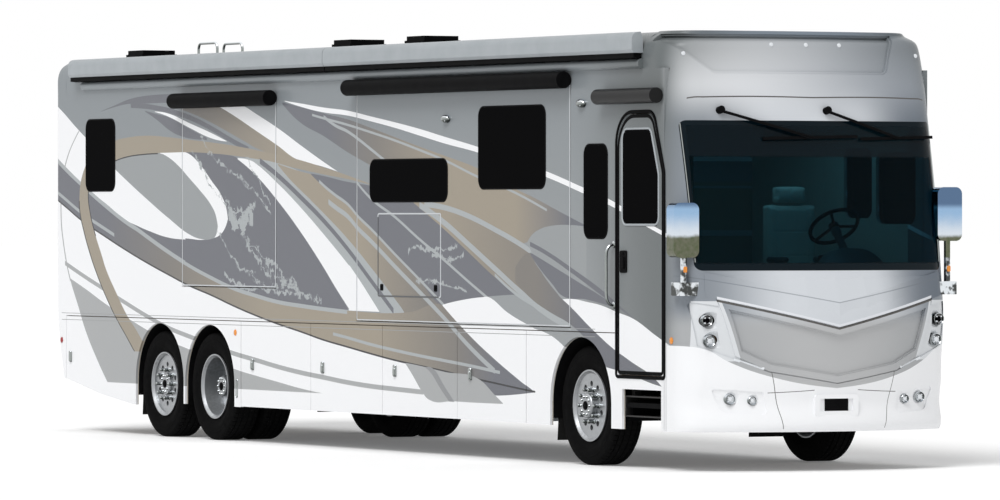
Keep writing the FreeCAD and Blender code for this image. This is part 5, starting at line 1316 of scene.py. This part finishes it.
def stuffed(low, high, seams, swell=0.011):
    """A cushion's mesh: a rounded block swollen as cloth, then drawn in along its sewn lines."""
    low, high = Vector(low), Vector(high)
    centre, half = (low + high) / 2, (high - low) / 2
    bm = bmesh.new()
    bmesh.ops.create_cube(bm, size=2.0)
    for v in bm.verts:
        v.co = Vector(v.co[i] * (half[i] - swell) for i in range(3))
    bmesh.ops.bevel(bm, geom=bm.edges, offset=min(half) * 0.42, segments=4, profile=0.5, affect="EDGES")
    mesh = bpy.data.meshes.new("cushion_block")
    bm.to_mesh(mesh)
    bm.free()
    block = add("cushion_block", mesh)
    remesh = block.modifiers.new("remesh", "REMESH")
    remesh.mode = "VOXEL"
    remesh.voxel_size = VOXEL
    shape = bpy.data.meshes.new_from_object(block.evaluated_get(bpy.context.evaluated_depsgraph_get()))
    block.modifiers.remove(remesh)
    block.data = shape
    rest = [v.co.copy() for v in shape.vertices]
    cloth = block.modifiers.new("cloth", "CLOTH")
    cloth.settings.use_pressure = True
    cloth.settings.uniform_pressure_force = PRESSURE
    cloth.settings.effector_weights.gravity = 0.0
    cloth.collision_settings.use_collision = False
    cloth.point_cache.frame_start = 1
    cloth.point_cache.frame_end = LAST_FRAME
    for frame_number in range(1, LAST_FRAME + 1):
        bpy.context.scene.frame_set(frame_number)
    done = block.evaluated_get(bpy.context.evaluated_depsgraph_get())
    swollen = [v.co.copy() for v in done.data.vertices]
    bpy.context.scene.frame_set(1)
    bpy.data.objects.remove(block)
    for v, start, stop in zip(shape.vertices, rest, swollen):
        move = stop - start
        spot = start + move * min(1.0, swell / max(move.length, 1e-9))
        normal = v.normal
        for axis, place in seams:
            gap = abs(spot[axis] - place * half[axis])
            spot = spot - normal * SEAM_DEPTH * math.exp(-(gap / SEAM_HALF) ** 2)
        v.co = centre + spot
    return shape


def place_cushion(name, mesh, shift_by):
    own = mesh.copy()
    own.transform(Matrix.Translation(shift_by))
    own.shade_smooth()
    own.materials.clear()
    own.materials.append(LOOKS["seat_cover"])
    obj = add(name, own)
    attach(obj, "body")
    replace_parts(obj, "seats")


def make_seats():
    """Two seats of three cushions each, on a pedestal, with bolster arms."""
    first = None
    for box_low, box_high in islands("seats"):
        tag = "driver" if box_low[1] > 0 else "passenger"
        x0, y0, floor = box_low
        x1, y1, top = box_high
        seat_z = floor + 0.325
        if first is None:
            first = box_low
            cushions = (("pad", stuffed((x0 + 0.075, y0, seat_z), (x1, y1, seat_z + 0.14),
                ((1, -0.62), (1, 0.62), (0, -0.2)))), ("back", stuffed((x0, y0, seat_z + 0.065),
                (x0 + 0.13, y1, seat_z + 0.76), ((1, -0.62), (1, 0.62), (2, -0.3), (2, 0.3)))),
                ("head", stuffed((x0 + 0.01, y0 + 0.1, seat_z + 0.755), (x0 + 0.12, y1 - 0.1, top),
                ((1, 0.0),))))
        for part_name, mesh in cushions:
            place_cushion("seat_%s_%s" % (part_name, tag), mesh, box_low - first)
        bm = bmesh.new()
        for z0, z1, inset in ((floor, floor + 0.03, 0.06), (floor + 0.03, floor + 0.29, 0.11),
                              (floor + 0.29, seat_z, 0.05)):
            corners = rounded([(x0 + 0.07 + inset, y0 + inset, 0.03), (x1 - inset, y0 + inset, 0.03),
                (x1 - inset, y1 - inset, 0.03), (x0 + 0.07 + inset, y1 - inset, 0.03)], 4)
            plate(bm, [Vector((p.x, p.y, z0 + 0.002)) for p in corners], z1 - z0 - 0.002, (0, 0, 1), 0.004)
        for y in (y0 + 0.028, y1 - 0.028):
            profile = [(0.0, 0.0), (0.004, 0.016), (0.014, 0.025), (0.03, 0.028), (0.3, 0.028),
                (0.325, 0.024), (0.338, 0.014), (0.342, 0.0)]
            lathe(bm, profile, (x0 + 0.11, y, seat_z + 0.27), (1, 0, 0), 20)
        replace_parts(piece("seat_frame_" + tag, bm, "trim"), "seats")


for axle_name in ("front", "drive", "tag"):
    for side_name in SIDES:
        make_wheel(axle_name, side_name)
make_entry()
make_side_fittings()
make_lamps()
make_tail()
make_front_trim()
make_dash()
make_roll_ends()
make_seats()


def make_stage():
    """A white floor that takes the shadow, a white surround, a sun, a cab lamp and the camera."""
    floor_half, floor_glow, surround, sun_power, cab_watts = 400.0, 0.13, 0.53, 1.6, 11.0
    mesh = bpy.data.meshes.new("floor")
    size = floor_half
    mesh.from_pydata([(-size, -size, 0), (size, -size, 0), (size, size, 0), (-size, size, 0)], [],
        [(0, 1, 2, 3)])
    ground = add("stage_floor", mesh)
    m = Look("stage_white", (1, 1, 1, 1), 0.9, Specular_IOR_Level=0.0, Emission_Strength=floor_glow)
    m.bsdf.inputs["Emission Color"].default_value = (1, 1, 1, 1)
    mesh.materials.append(m.mat)

    world = bpy.data.worlds.new("surround")
    bpy.context.scene.world = world
    world.use_nodes = True
    nodes, links = world.node_tree.nodes, world.node_tree.links
    back = nodes["Background"]
    back.inputs["Color"].default_value = (1, 1, 1, 1)
    back.inputs["Strength"].default_value = surround
    seen = nodes.new("ShaderNodeBackground")
    seen.inputs["Color"].default_value = (1, 1, 1, 1)
    seen.inputs["Strength"].default_value = 1.0
    path = nodes.new("ShaderNodeLightPath")
    rays = path.outputs["Is Camera Ray"]
    for kind in ("Is Glossy Ray", "Is Transmission Ray"):
        either = nodes.new("ShaderNodeMath")
        either.operation = "MAXIMUM"
        links.new(rays, either.inputs[0])
        links.new(path.outputs[kind], either.inputs[1])
        rays = either.outputs[0]
    mix = nodes.new("ShaderNodeMixShader")
    for i, socket in enumerate((rays, back.outputs[0], seen.outputs[0])):
        links.new(socket, mix.inputs[i])
    links.new(mix.outputs[0], nodes["World Output"].inputs[0])

    lamp = bpy.data.lights.new("sun", "SUN")
    lamp.energy = sun_power
    lamp.angle = math.radians(28)
    lit = add("sun", lamp)
    lit.rotation_euler = Vector((0.38, -0.52, 0.80)).to_track_quat("Z", "Y").to_euler()

    glow = bpy.data.lights.new("cab_light", "AREA")
    glow.energy = cab_watts
    glow.size = 1.6
    add("cab_light", glow).location = (5.3, 0.0, 3.2)

    cam = bpy.data.cameras.new("camera")
    cam.sensor_width = 36.0
    cam.lens = 251.84
    cam.shift_x = -0.00603
    cam.shift_y = -0.03363
    cam.clip_end = 900.0
    eye = add("camera", cam)
    eye.location = (58.0375, -29.25, 2.146)
    eye.rotation_euler = (math.radians(90), 0, math.radians(62.97))
    bpy.context.scene.camera = eye
    bpy.context.scene.view_settings.view_transform = "Standard"


make_stage()
